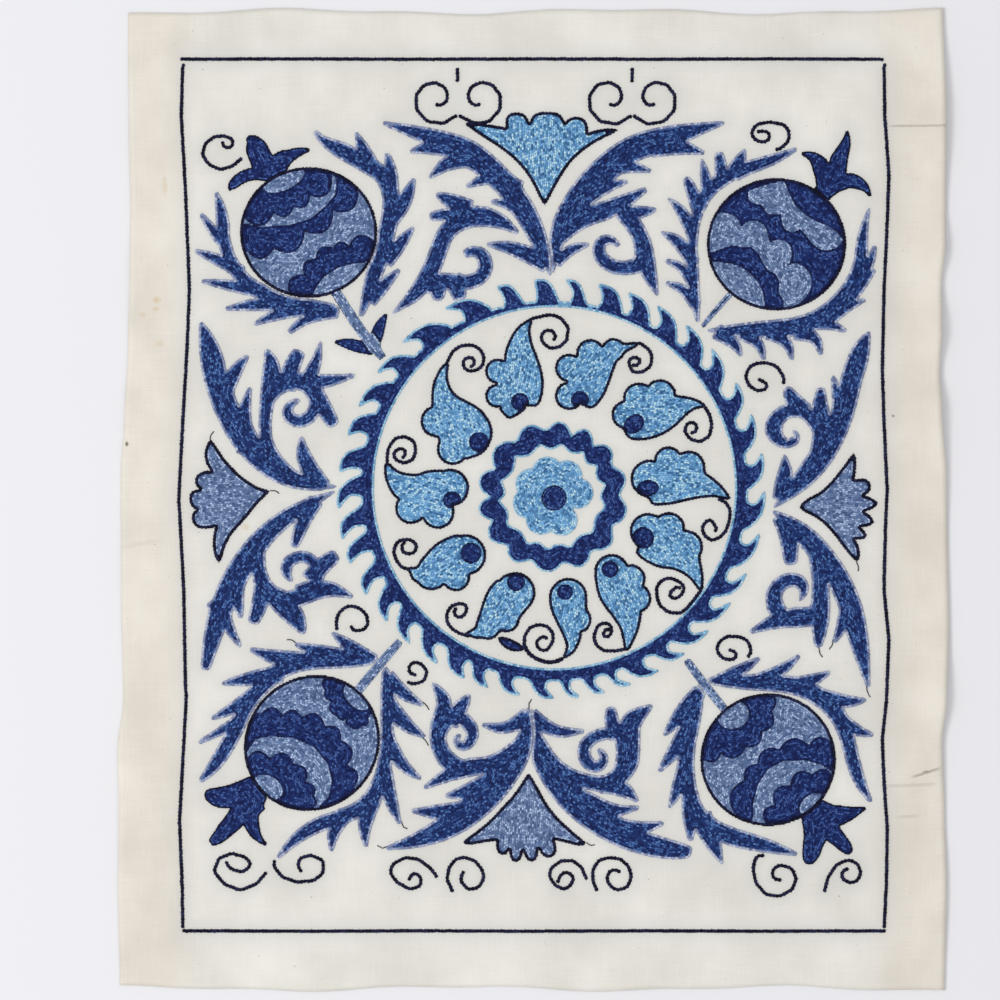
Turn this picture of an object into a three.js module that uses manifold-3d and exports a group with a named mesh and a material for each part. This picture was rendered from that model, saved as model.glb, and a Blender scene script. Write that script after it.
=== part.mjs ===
import * as THREE from 'three';
import { mergeVertices } from 'three/addons/utils/BufferGeometryUtils.js';
import Module from 'manifold-3d';

const wasm = await Module();
wasm.setup();

// A suzani: a handloom cotton panel, lying face up, worked in chain stitch with blue silk.
// Millimetres, +X across the cloth, +Y along it, +Z up from the face it lies on.
const clothLength = 600;
const clothThickness = 1.2;
const clothRows = 30;
const panelHalfWidth = 219; // the embroidered panel lies flat; the margins outside it ripple
const panelColumns = 5;
const marginColumns = 4;
const threadGap = 0.3; // the thread lies this far above the cloth
const threadHeight = 0.8;
const threadBottom = clothThickness + threadGap;
const lineWidth = 2.3; // one row of chain stitch
const minBandWidth = 0.6;
const clearance = 0.55; // cloth that shows between one motif and the next, at least
const outlineSlack = 0.12; // points that bend an outline less than this are left out
const stepsPerStation = 1.5;
const minHole = 1.5; // square millimetres; the stitching closes anything smaller
const curlStep = 40; // degrees

const cotton = { color: 0xe6e0d5, roughness: 0.95 };
const navySilk = { color: 0x1a1a3e, roughness: 0.6 };
const blueSilk = { color: 0x1e3a82, roughness: 0.6 };
const slateSilk = { color: 0x6e82af, roughness: 0.6 };
const skySilk = { color: 0x6eaadc, roughness: 0.6 };

const suzani = new THREE.Group();

function addMesh(name, geometry, look) {
  const material = new THREE.MeshStandardMaterial({ ...look, metalness: 0 });
  const mesh = new THREE.Mesh(geometry, material);
  mesh.name = name;
  suzani.add(mesh);
}

// The ground cloth. Each row of an edge table is a place along the cloth, how far the
// selvage stands from the middle there, and how far it lifts off the face it lies on.
const leftSelvage = [
  { y: -300, x: -252, lift: 0 },
  { y: -235, x: -253, lift: 0.6 },
  { y: -188, x: -252.5, lift: 1.2 },
  { y: -153, x: -253.5, lift: 0.4 },
  { y: -122, x: -250, lift: 0 },
  { y: -55, x: -251, lift: 0.8 },
  { y: 13, x: -251.5, lift: 0.2 },
  { y: 53, x: -249, lift: 1 },
  { y: 92, x: -247, lift: 0.5 },
  { y: 135, x: -246, lift: 1.4 },
  { y: 172, x: -245.5, lift: 0.3 },
  { y: 233, x: -246.5, lift: 0.8 },
  { y: 300, x: -247, lift: 0 },
];
const rightSelvage = [
  { y: -300, x: 251, lift: 0 },
  { y: -234, x: 252, lift: 1.2 },
  { y: -192, x: 251, lift: 0.4 },
  { y: -149, x: 249.5, lift: 1.5 },
  { y: -120, x: 252, lift: 4.2 },
  { y: -85, x: 253.5, lift: 1 },
  { y: -18, x: 252.5, lift: 0.6 },
  { y: 13, x: 252, lift: 1.8 },
  { y: 55, x: 249, lift: 4.6 },
  { y: 78, x: 248, lift: 1.6 },
  { y: 104, x: 249, lift: 5 },
  { y: 132, x: 249, lift: 1.4 },
  { y: 154, x: 251, lift: 4 },
  { y: 177, x: 251.5, lift: 1 },
  { y: 233, x: 251.5, lift: 4.4 },
  { y: 300, x: 250, lift: 0.6 },
];
const endWobble = 1.4; // the cut ends aren't quite straight

function selvageAt(table, y) {
  const next = Math.max(1, table.findIndex((row) => row.y >= y));
  const [a, b] = [table[next - 1], table[next]];
  const t = THREE.MathUtils.smoothstep(y, a.y, b.y);
  return { x: THREE.MathUtils.lerp(a.x, b.x, t), lift: THREE.MathUtils.lerp(a.lift, b.lift, t) };
}

// One crosswise row of the cloth's underside: a rippled margin, the flat panel, a margin.
function clothRow(y) {
  const left = selvageAt(leftSelvage, y);
  const right = selvageAt(rightSelvage, y);
  const row = [];
  const margin = (edge, inner, t) => {
    const out = 1 - t; // 1 at the selvage, 0 at the panel
    row.push({ x: THREE.MathUtils.lerp(edge.x, inner, t), z: edge.lift * out * out });
  };
  for (let i = 0; i < marginColumns; i++) margin(left, -panelHalfWidth, i / marginColumns);
  for (let i = 0; i < panelColumns; i++) {
    row.push({ x: panelHalfWidth * ((2 * i) / panelColumns - 1), z: 0 });
  }
  for (let i = marginColumns; i >= 0; i--) margin(right, panelHalfWidth, i / marginColumns);
  const reach = y / (clothLength / 2); // -1 and 1 at the two ends
  return row.map(({ x, z }) => {
    const wobble = endWobble * (Math.sin(x / 31) + 0.5 * Math.sin(x / 13 + reach) - 1.5);
    return new THREE.Vector3(x, y + wobble * reach ** 15, z);
  });
}

function groundCloth() {
  const under = [];
  for (let j = 0; j <= clothRows; j++) under.push(clothRow(clothLength * (j / clothRows - 0.5)));
  const columns = under[0].length;
  const points = under.flat();
  const count = points.length;
  const positions = [
    ...points.flatMap((p) => [p.x, p.y, p.z]),
    ...points.flatMap((p) => [p.x, p.y, p.z + clothThickness]),
  ];
  const index = [];
  const quad = (a, b, c, d) => index.push(a, b, c, a, c, d);
  const at = (j, i) => j * columns + i;
  for (let j = 0; j < clothRows; j++) {
    for (let i = 0; i < columns - 1; i++) {
      const [a, b, c, d] = [at(j, i), at(j, i + 1), at(j + 1, i + 1), at(j + 1, i)];
      quad(a + count, b + count, c + count, d + count);
      quad(d, c, b, a);
    }
    quad(at(j + 1, 0), at(j, 0), at(j, 0) + count, at(j + 1, 0) + count);
    const last = columns - 1;
    quad(at(j, last), at(j + 1, last), at(j + 1, last) + count, at(j, last) + count);
  }
  for (let i = 0; i < columns - 1; i++) {
    quad(at(0, i), at(0, i + 1), at(0, i + 1) + count, at(0, i) + count);
    quad(at(clothRows, i + 1), at(clothRows, i), at(clothRows, i) + count, at(clothRows, i + 1) + count);
  }
  const geometry = new THREE.BufferGeometry();
  geometry.setAttribute('position', new THREE.Float32BufferAttribute(positions, 3));
  geometry.setIndex(index);
  return geometry;
}

addMesh('ground_cloth', groundCloth(), cotton);

// The embroidery. Each motif is bands and dots of thread, joined into one flat solid. Each of
// them can also grow on every side, which gives the space that other motifs keep clear of.
function flatPlate(outline, holes, bottom, height) {
  const path = (points) => points.map(([x, y]) => new THREE.Vector2(x, y));
  const shape = new THREE.Shape(path(outline));
  shape.holes = holes.map((hole) => new THREE.Path(path(hole)));
  const geometry = new THREE.ExtrudeGeometry(shape, { depth: height, bevelEnabled: false });
  geometry.deleteAttribute('normal');
  geometry.deleteAttribute('uv');
  geometry.translate(0, 0, bottom);
  return mergeVertices(geometry, 1e-5);
}

function solidFrom(outline, grow = 0) {
  const plate = flatPlate(outline, [], threadBottom - grow, threadHeight + 2 * grow);
  return new wasm.Manifold(
    new wasm.Mesh({
      numProp: 3,
      vertProperties: new Float32Array(plate.attributes.position.array),
      triVerts: new Uint32Array(plate.index.array),
    })
  );
}

// The loops round the top face of a solid, each a list of [x, y].
function topLoops(solid) {
  const { vertProperties, triVerts } = solid.getMesh();
  const isTop = (v) => vertProperties[3 * v + 2] > threadBottom + threadHeight / 2;
  const edges = new Set();
  for (let t = 0; t < triVerts.length; t += 3) {
    const corners = [...triVerts.slice(t, t + 3)];
    if (corners.every(isTop)) corners.forEach((v, i) => edges.add(`${v},${corners[(i + 1) % 3]}`));
  }
  const next = new Map();
  for (const edge of edges) {
    const [from, to] = edge.split(',').map(Number);
    if (!edges.has(`${to},${from}`)) next.set(from, to);
  }
  const loops = [];
  while (next.size > 0) {
    const loop = [];
    let v = next.keys().next().value;
    while (next.has(v)) {
      loop.push([vertProperties[3 * v], vertProperties[3 * v + 1]]);
      const after = next.get(v);
      next.delete(v);
      v = after;
    }
    loops.push(loop);
  }
  return loops;
}

// How far a point stands off the line between its neighbours.
function bend([ax, ay], [x, y], [bx, by]) {
  const length = Math.hypot(bx - ax, by - ay);
  if (length < outlineSlack) return 0;
  return Math.abs((x - ax) * (by - ay) - (y - ay) * (bx - ax)) / length;
}

function simplified(loop) {
  const points = [...loop];
  for (;;) {
    const count = points.length;
    const bends = points.map((p, i) => bend(points[(i + count - 1) % count], p, points[(i + 1) % count]));
    const least = Math.min(...bends);
    if (count <= 4 || least > outlineSlack) return points;
    points.splice(bends.indexOf(least), 1);
  }
}

// A band runs through its stations, each an x, a y and the band's width there.
function band(stations, { round = false, steps = stepsPerStation, grow = 0 } = {}) {
  const curve = new THREE.CatmullRomCurve3(stations.map((station) => new THREE.Vector3(...station)));
  const divisions = Math.ceil(steps * (stations.length - 1));
  const left = [];
  const right = [];
  for (let i = 0; i <= divisions; i++) {
    const t = i / divisions;
    const here = curve.getPoint(t);
    const before = curve.getPoint(Math.max(0, t - 0.02));
    const after = curve.getPoint(Math.min(1, t + 0.02));
    const along = new THREE.Vector2(after.x - before.x, after.y - before.y).normalize();
    const half = Math.max(here.z, minBandWidth) / 2 + grow;
    let end = 0;
    if (i === 0) end = -grow;
    else if (i === divisions && !round) end = grow;
    const [x, y] = [here.x + along.x * end, here.y + along.y * end];
    left.push([x - along.y * half, y + along.x * half]);
    right.push([x + along.y * half, y - along.x * half]);
    if (round && i === divisions) {
      for (const turn of [-45, 45]) {
        const cap = along.clone().rotateAround(new THREE.Vector2(), THREE.MathUtils.degToRad(turn));
        right.push([x + cap.x * half, y + cap.y * half]);
      }
    }
  }
  return solidFrom([...right, ...left.reverse()], grow);
}

const blade = (...stations) => (grow) => band(stations, { grow });
const lobe = (...stations) => (grow) => band(stations, { grow, round: true });
const line = (...stations) => (grow) => band(stations, { grow, steps: 1 });
const thread = (...points) => line(...points.map(([x, y]) => [x, y, lineWidth]));

const dot = ([x, y, radius], { sides = 10, flatten = 1, tilt = 0 } = {}) => (grow) => {
  const outline = [];
  for (let i = 0; i < sides; i++) {
    const angle = (2 * Math.PI * (i + 0.5)) / sides;
    const point = new THREE.Vector2((radius + grow) * Math.cos(angle), (radius * flatten + grow) * Math.sin(angle));
    point.rotateAround(new THREE.Vector2(), THREE.MathUtils.degToRad(tilt));
    outline.push([x + point.x, y + point.y]);
  }
  return solidFrom(outline, grow);
};

// A curl is one row of chain stitch, wound in from its start towards a centre.
function curl({ centre: [cx, cy], start: [sx, sy], turn, inner, wind = 1.4 }) {
  const startRadius = Math.hypot(sx - cx, sy - cy);
  const startAngle = Math.atan2(sy - cy, sx - cx);
  const count = Math.ceil(Math.abs(turn) / curlStep);
  const stations = [];
  for (let i = 0; i <= count; i++) {
    const t = i / count;
    const radius = THREE.MathUtils.lerp(startRadius, inner, t ** wind);
    const angle = startAngle + THREE.MathUtils.degToRad(turn * t);
    stations.push([cx + radius * Math.cos(angle), cy + radius * Math.sin(angle), lineWidth]);
  }
  return line(...stations);
}

const clearSpaces = [];

function joined(pieces, grow) {
  return pieces.map((piece) => piece(grow)).reduce((whole, solid) => whole.add(solid));
}

// A motif is one piece: its widest loop is the outline, the loops that run the other way are holes.
function addSolid(name, solid, silk) {
  const loops = topLoops(solid).map(simplified);
  const area = (loop) => THREE.ShapeUtils.area(loop.map(([x, y]) => ({ x, y })));
  const outline = loops.reduce((widest, loop) => (area(loop) > area(widest) ? loop : widest));
  const holes = loops.filter((loop) => area(loop) < -minHole);
  addMesh(name, flatPlate(outline, holes, threadBottom, threadHeight), silk);
}

function addMotif(name, pieces, silk) {
  const solid = clearSpaces.reduce((rest, space) => rest.subtract(space), joined(pieces, 0));
  addSolid(name, solid, silk);
  clearSpaces.push(joined(pieces, clearance));
}

// The medallion: a ring with a crest of leaning teeth.
const ringCentre = [13, 7.5];
const ringInner = 110.5;
const notchRadius = 118;
const tipRadius = 128.7;
// A tooth leans over the notch ahead of it. Degrees round the ring, as is the notch's width.
const teeth = [
  { tip: 10, notch: 8.5, wide: 4 }, { tip: 21, notch: 19, wide: 4 }, { tip: 30.5, notch: 29, wide: 4 },
  { tip: 42, notch: 39, wide: 2.6 }, { tip: 51.5, notch: 49, wide: 2.6 },
  { tip: 61, notch: 58.5, wide: 2.6 }, { tip: 69.5, notch: 67.8, wide: 2.2 },
  { tip: 78, notch: 78.2, wide: 4.8 }, { tip: 87, notch: 86.8, wide: 4.4 },
  { tip: 95.5, notch: 97.5, wide: 4.6 }, { tip: 106, notch: 107.5, wide: 5 },
  { tip: 122, notch: 120.5, wide: 5.5 }, { tip: 137, notch: 135, wide: 5 },
  { tip: 147.5, notch: 145.5, wide: 3.6 }, { tip: 158, notch: 156, wide: 3.4 },
  { tip: 166, notch: 166, wide: 4 }, { tip: 176, notch: 175.5, wide: 2 },
  { tip: 186, notch: 184, wide: 3.6 }, { tip: 194, notch: 192.4, wide: 2.6 },
  { tip: 200.5, notch: 200.7, wide: 3.8 }, { tip: 210, notch: 208.7, wide: 3 },
  { tip: 219, notch: 217, wide: 2.4 }, { tip: 227.5, notch: 225.7, wide: 3.6 },
  { tip: 237, notch: 235, wide: 4 }, { tip: 245, notch: 244, wide: 2 },
  { tip: 252, notch: 251.4, wide: 3.8 }, { tip: 261, notch: 260.5, wide: 5 },
  { tip: 270.3, notch: 269.8, wide: 4.4 }, { tip: 277.3, notch: 276.6, wide: 4.2 },
  { tip: 284.3, notch: 283.8, wide: 4 }, { tip: 291.7, notch: 289.7, wide: 3 },
  { tip: 300.3, notch: 299, wide: 4 }, { tip: 308.7, notch: 306.5, wide: 2.6 },
  { tip: 318, notch: 315, wide: 3 }, { tip: 327.7, notch: 324.5, wide: 3.4 },
  { tip: 336.7, notch: 333.8, wide: 4 }, { tip: 348, notch: 345.5, wide: 4.2 },
  { tip: 359.6, notch: 357.5, wide: 4.4 },
];
// A tooth's back rises from the notch behind it: shares of the way to the tip, round and outwards.
const toothBack = [
  { round: 0, out: 0.15 },
  { round: 0.15, out: 0.5 },
  { round: 0.33, out: 0.82 },
  { round: 0.6, out: 1 },
  { round: 1, out: 1 },
];

const swell = (degrees, at, spread) => Math.exp(-(((degrees - at) / spread) ** 2));
const notchDepth = (degrees) => notchRadius - 4.4 * swell(degrees, 84, 38);
const toothReach = (degrees) => tipRadius + 4.6 * swell(degrees, 196, 28) - 1.4 * swell(degrees, 84, 38);

function onCircle([cx, cy], radius, degrees) {
  const angle = THREE.MathUtils.degToRad(degrees);
  return [cx + radius * Math.cos(angle), cy + radius * Math.sin(angle)];
}

// A disc whose rim is a function from degrees to a radius.
function rimmedDisc(centre, count, rim, grow, cover) {
  const angles = Array.from({ length: count }, (unused, i) => (360 * i) / count);
  return solidFrom(angles.map((angle) => onCircle(centre, rim(angle) + grow, angle)), cover);
}

const ringBand = (grow) => {
  const outer = rimmedDisc(ringCentre, 60, notchDepth, grow, grow);
  return outer.subtract(rimmedDisc(ringCentre, 60, () => ringInner, -grow, 2 * clearance));
};

const tooth = ({ tip, notch, wide }, behind) => (grow) => {
  const wider = THREE.MathUtils.radToDeg(grow / notchRadius);
  const start = behind.notch + behind.wide / 2 - (behind.notch > tip ? 360 : 0) - wider;
  const depth = notchDepth(tip);
  const height = toothReach(tip) - depth;
  const front = notch - wide / 2 + wider;
  const back = toothBack.map(({ round, out }) => {
    return { at: THREE.MathUtils.lerp(start, tip + wider, round), radius: depth + height * out + grow };
  });
  const points = [
    { at: start - 0.5, radius: ringInner + 2 },
    { at: start - 0.5, radius: depth },
    ...back,
    { at: THREE.MathUtils.lerp(front, tip, 0.42), radius: depth + 0.72 * height },
    { at: front, radius: depth + 0.45 * height },
    { at: front, radius: depth + 0.22 * height },
    { at: front + 0.5, radius: depth },
    { at: front + 0.5, radius: ringInner + 2 },
  ];
  return solidFrom(points.map(({ at, radius }) => onCircle(ringCentre, radius, at)).reverse(), grow);
};
addMotif('ring', [ringBand, ...teeth.map((row, i) => tooth(row, teeth.at(i - 1)))], blueSilk);

// The rosette in the middle: a scalloped ring round a flower.
const rosetteCentre = [12, 2];
// Each rim of the scalloped ring is a run of bulges between these directions, in degrees.
const rosetteRims = {
  outer: { valleys: [2, 28, 52, 73, 96, 123, 154, 180, 201, 226, 251, 280, 306, 333], radius: 38.6, rise: 7.4 },
  inner: { valleys: [12, 35, 55, 80, 104, 133, 164, 185, 212, 242, 264, 289, 319, 349], radius: 33.5, rise: -4.5 },
};
const rimPoints = 84;

function scallops({ valleys, radius, rise }, degrees) {
  const next = valleys.findIndex((valley) => valley > degrees);
  const to = next < 0 ? valleys[0] + 360 : valleys[next];
  const from = next <= 0 ? valleys.at(-1) - (next === 0 ? 360 : 0) : valleys[next - 1];
  return radius + rise * Math.sin((Math.PI * (degrees - from)) / (to - from)) ** 0.75;
}

const scallopRing = (grow) => {
  const disc = (rim, more, cover) => rimmedDisc(rosetteCentre, rimPoints, (angle) => scallops(rim, angle), more, cover);
  return disc(rosetteRims.outer, grow, grow).subtract(disc(rosetteRims.inner, -grow, 2 * clearance));
};
addMotif('rosette_ring', [scallopRing], blueSilk);

const petalAngles = [8, 56, 102, 150, 195, 243, 292];
addMotif(
  'rosette_flower',
  [
    dot([...rosetteCentre, 15]),
    ...petalAngles.map((angle) => dot([...onCircle(rosetteCentre, 15.5, angle), 9.5])),
  ],
  skySilk
);

// One dark line of chain stitch runs round the panel, nearly straight.
const sideLines = {
  border_left: [
    [-213.5, 267], [-214.5, 234], [-212, 190], [-209.5, 128], [-211, 92], [-213.5, 49], [-216, 0], [-214.5, -25],
    [-213, -55], [-212, -110], [-211.5, -122], [-213.5, -159], [-215.5, -195], [-214, -234], [-213.5, -261],
  ],
  border_right: [
    [214, 267], [214.5, 234], [217, 198], [215.5, 158], [214, 128], [213, 79], [214, 48], [216, 6],
    [215, -12], [214, -55], [217, -86], [215.5, -122], [213, -146], [214, -171], [216, -201], [215.5, -234], [214, -261],
  ],
};
for (const [name, route] of Object.entries(sideLines)) {
  addMotif(name, [line(...route.map(([x, y]) => [x, y, lineWidth]))], navySilk);
}
const endLines = { border_top: 268.7, border_bottom: -262.7 };
for (const [name, y] of Object.entries(endLines)) {
  const route = [-215, -140, -70, 0, 70, 140, 215].map((x, i) => [x, y + 0.25 * (i % 2) * Math.sign(y), lineWidth]);
  addMotif(name, [line(...route)], navySilk);
}

// The four pomegranates: a round fruit, a crown of three petals and a stem.
addMotif('pomegranate_top_left', [
  dot([-137, 163, 42], { sides: 36, flatten: 0.952 }),
  lobe(
    [-161.5, 199, 18.5], [-165.5, 207.5, 14.5], [-168.5, 214, 14], [-171, 218.5, 10.5],
    [-173, 220.5, 5]
  ),
  blade([-160.5, 197.5, 16], [-153.5, 207, 13], [-148, 210, 8], [-142.5, 212.5, 6], [-136, 213.5, 2]),
  lobe(
    [-159, 197.5, 8.5], [-168, 199, 8], [-174.5, 198, 8], [-180, 195, 7.5], [-183.5, 191.5, 6],
    [-185, 189.5, 2.5]
  ),
  blade([-123, 131, 6.5], [-107, 106, 6.5], [-91.5, 86.5, 5]),
  blade([-97, 92.5, 6], [-94.5, 103.5, 8.5], [-89.5, 113.5, 2]),
  blade([-97, 90.5, 5], [-109, 94.5, 8.5], [-121, 96.5, 2]),
], blueSilk);

addMotif('pomegranate_top_right', [
  dot([148.5, 156, 42.5], { sides: 36, flatten: 0.95 }),
  blade(
    [179.5, 189, 14.5], [177.5, 197, 11], [175.5, 203.5, 11.5], [172, 208, 8], [168, 210.5, 5],
    [163.5, 211, 2]
  ),
  blade(
    [183.5, 193, 14.5], [185.5, 200, 11.5], [186.5, 207.5, 11.5], [188.5, 212, 9], [190.5, 217, 7],
    [191.5, 221.5, 4], [191.5, 225, 2]
  ),
  blade(
    [172.5, 183, 13.5], [181, 190.5, 10.5], [190.5, 194.5, 10], [195, 194.5, 9.5], [200, 192.5, 7.5],
    [203.5, 189.5, 4.5], [205.5, 185, 2]
  ),
  blade([122, 127.5, 3.5], [110.5, 114.5, 3.5], [103, 105.5, 2.5]),
], blueSilk);

addMotif('pomegranate_bottom_left', [
  dot([-135, -148, 43], { sides: 36, flatten: 0.936, tilt: 45 }),
  lobe(
    [-165.5, -177, 22], [-178.5, -179.5, 16.5], [-187.5, -181.5, 13.5], [-193, -181, 12.5],
    [-197.5, -179.5, 8.5]
  ),
  lobe(
    [-170, -182, 19.5], [-181, -194, 13], [-184, -197.5, 11.5], [-187.5, -201, 11], [-191, -205, 9],
    [-195, -208, 6.5]
  ),
  blade(
    [-169.5, -174, 20.5], [-172.5, -185, 16.5], [-172.5, -194, 11], [-171, -199.5, 9], [-169, -204, 7],
    [-166, -207.5, 4], [-162.5, -210.5, 2]
  ),
  blade([-109, -119, 5.5], [-94.5, -101.5, 6], [-81, -86, 4.5]),
], blueSilk);

addMotif('pomegranate_bottom_right', [
  dot([143.5, -158.5, 41.5], { sides: 36, flatten: 0.978 }),
  blade(
    [172, -190.5, 18.5], [182.5, -193, 14.5], [188.5, -192, 12], [193.5, -191, 9], [198, -189.5, 5],
    [203, -188, 2]
  ),
  lobe(
    [172, -192, 20.5], [183, -203.5, 11.5], [186.5, -207, 10], [190.5, -211.5, 8.5], [192.5, -214, 6]
  ),
  lobe(
    [171.5, -188, 18.5], [172.5, -203.5, 15], [170.5, -210.5, 12.5], [169.5, -215.5, 11.5],
    [168, -219.5, 8]
  ),
  blade([93.5, -97.5, 4.5], [103.5, -111, 5.5], [118.5, -130, 5]),
], blueSilk);

// Two toothed fronds curl round each pomegranate.
addMotif('frond_top_left_right', [
  blade(
    [-105, 112, 2.5], [-99, 131, 9], [-93.5, 147.5, 10.5], [-88.5, 166, 10.5], [-86, 183, 11],
    [-91, 197.5, 10.5], [-102, 205, 10.5], [-116.5, 213, 10.5], [-128.5, 219.5, 5], [-133, 225, 2]
  ),
  blade([-97, 200, 10], [-103.5, 213.5, 8.5], [-108, 224.5, 1]),
  blade([-86.5, 189, 9], [-87, 201.5, 8], [-89, 211.5, 2]),
  blade([-86.5, 171, 10], [-78, 183, 10], [-72.5, 196, 2]),
  blade([-90.5, 145, 10], [-80.5, 157, 8.5], [-73, 166, 2]),
  blade([-99, 120, 6], [-91, 131, 8], [-81.5, 140.5, 2]),
], blueSilk);

addMotif('frond_top_left_left', [
  blade(
    [-117.5, 116.5, 5], [-136, 117.5, 10], [-154.5, 122, 10], [-171.5, 130, 9], [-183, 142.5, 8],
    [-188.5, 158.5, 7.5], [-189.5, 173, 8], [-193, 187.5, 2]
  ),
  blade([-186.5, 155, 7.5], [-194.5, 163.5, 6.5], [-202.5, 174.5, 2]),
  blade([-177, 138.5, 8], [-192, 146.5, 7.5], [-206, 152, 2]),
  blade([-163, 127, 8.5], [-182.5, 130.5, 7.5], [-202, 133.5, 2]),
  blade([-147, 119.5, 8.5], [-168, 119.5, 8], [-187.5, 116.5, 2]),
  blade([-136, 117, 8.5], [-155.5, 113.5, 7.5], [-170, 107, 2]),
  lobe([-119, 114, 6], [-137, 111, 6.5], [-148, 103, 3.5]),
], blueSilk);

addMotif('frond_top_right_left', [
  blade(
    [100.5, 108.5, 2], [98, 131, 7.5], [97, 152.5, 6], [99, 171, 6], [105, 186, 8.5],
    [116.5, 196.5, 8.5], [132.5, 203, 8.5], [147.5, 208, 6.5], [160.5, 214, 2]
  ),
  blade([99.5, 118.5, 7.5], [92, 128.5, 6.5], [81, 132.5, 2]),
  blade([98, 131, 7.5], [91.5, 141.5, 6], [81, 146, 2.5]),
  blade([98, 144.5, 8.5], [89.5, 157, 8.5], [78, 163.5, 1]),
  blade([98, 161, 7.5], [91.5, 175, 7.5], [82.5, 184, 1]),
  lobe([101.5, 175.5, 8.5], [97, 188, 7.5], [94, 195, 5]),
  blade([107, 186, 7.5], [105, 197.5, 6.5], [103, 208, 1]),
  lobe([115.5, 194, 8.5], [114.5, 203.5, 7.5], [113.5, 210, 5.5]),
  blade([121.5, 196.5, 10], [125.5, 206, 8.5], [129.5, 214, 1]),
], blueSilk);

addMotif('frond_top_right_right', [
  blade(
    [105.5, 103.5, 0.5], [126.5, 103.5, 8.5], [147.5, 104.5, 10.5], [166.5, 107, 11.5],
    [182.5, 116.5, 10.5], [194, 130.5, 9], [200, 145, 8.5], [200.5, 160, 6.5], [205, 178, 1]
  ),
  blade([202, 137, 5.5], [206, 146.5, 5.5], [208.5, 155, 2]),
  blade([190.5, 120, 8.5], [199.5, 131, 7.5], [208.5, 140.5, 2]),
  blade([180, 110, 8.5], [191, 117.5, 6.5], [202.5, 122, 2]),
  blade([170, 108, 8.5], [181, 107, 6.5], [191, 103, 2]),
  blade([160, 103, 11], [172, 99.5, 8], [175.5, 88.5, 2]),
  blade([143.5, 103, 11], [154.5, 97, 7.5], [158, 85.5, 2]),
  blade([127.5, 103, 11], [137, 96.5, 7.5], [141, 85.5, 2]),
  blade([111.5, 103, 10], [122, 96.5, 7.5], [127, 88, 2]),
], blueSilk);

addMotif('frond_bottom_left_left', [
  blade(
    [-91, -98, 2], [-111.5, -97.5, 10], [-132.5, -97.5, 11], [-151.5, -102, 10.5],
    [-165.5, -113.5, 10.5], [-175, -127, 10], [-182.5, -142.5, 9], [-193, -160.5, 8.5],
    [-203, -171.5, 2.5]
  ),
  blade([-96, -97.5, 6], [-111.5, -89.5, 9], [-123, -80.5, 1]),
  blade([-114.5, -96, 10], [-131, -92.5, 9], [-145, -88, 2]),
  blade([-136, -98, 10], [-155.5, -96.5, 10], [-172.5, -91, 2]),
  blade([-153, -106, 11], [-172.5, -109, 9], [-189.5, -112, 2]),
  blade([-165.5, -116, 10], [-180, -125.5, 8.5], [-196, -133.5, 2]),
  blade([-174.5, -132, 8.5], [-188, -139.5, 6], [-203.5, -148, 2]),
], blueSilk);

addMotif('frond_bottom_left_right', [
  blade(
    [-91, -100, 2.5], [-88.5, -116, 9], [-89, -134, 8], [-89.5, -151.5, 7.5], [-92, -169.5, 10],
    [-100.5, -185, 10], [-117.5, -193.5, 9], [-139, -201.5, 9], [-155.5, -218, 2]
  ),
  blade([-89, -107, 8.5], [-80.5, -117, 9], [-67, -125, 2]),
  blade([-88.5, -124, 10], [-79.5, -135.5, 10], [-66, -144.5, 2]),
  blade([-89, -145, 8.5], [-80, -161.5, 8], [-68.5, -170, 2]),
  blade([-91, -164.5, 10], [-87, -183, 8.5], [-81, -197.5, 2]),
  blade([-98, -182, 12], [-102.5, -195, 10], [-102, -211.5, 2]),
  blade([-114, -190.5, 10], [-121.5, -201.5, 8.5], [-123, -214, 2]),
], blueSilk);

addMotif('frond_bottom_right_right', [
  blade(
    [103, -110, 1], [123, -111, 8.5], [144.5, -111.5, 10], [164.5, -114.5, 11], [178.5, -123, 11],
    [188.5, -135.5, 10], [193.5, -152.5, 8.5], [198, -169.5, 8], [206, -184, 2]
  ),
  blade([109, -111, 5], [125, -104.5, 8], [138, -96.5, 2]),
  blade([132.5, -111.5, 7.5], [149.5, -105, 8], [162.5, -95, 2]),
  blade([155.5, -113.5, 8.5], [170, -110, 8], [181, -105, 2]),
  blade([174, -119.5, 10], [188.5, -123, 9], [203, -122, 2]),
  blade([185, -132, 8.5], [195, -139.5, 8], [207.5, -143.5, 2]),
], blueSilk);

addMotif('frond_bottom_right_left', [
  blade(
    [103, -110, 2.5], [98, -131, 10], [93.5, -149.5, 10.5], [93.5, -168, 10], [97, -186, 10.5],
    [105.5, -198, 11.5], [123, -206, 11], [141.5, -210.5, 9], [161, -216, 2]
  ),
  blade([102, -116, 8.5], [91.5, -129.5, 11], [80, -143.5, 2]),
  blade([96, -136, 10], [86.5, -152.5, 9], [77, -165.5, 2]),
  blade([94, -160.5, 10], [88.5, -175.5, 8.5], [83, -188, 1]),
  blade([96, -178.5, 10], [96, -194, 10], [96, -208, 2]),
  blade([102, -192, 13.5], [109, -207.5, 11], [115.5, -222, 1]),
], blueSilk);

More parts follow.
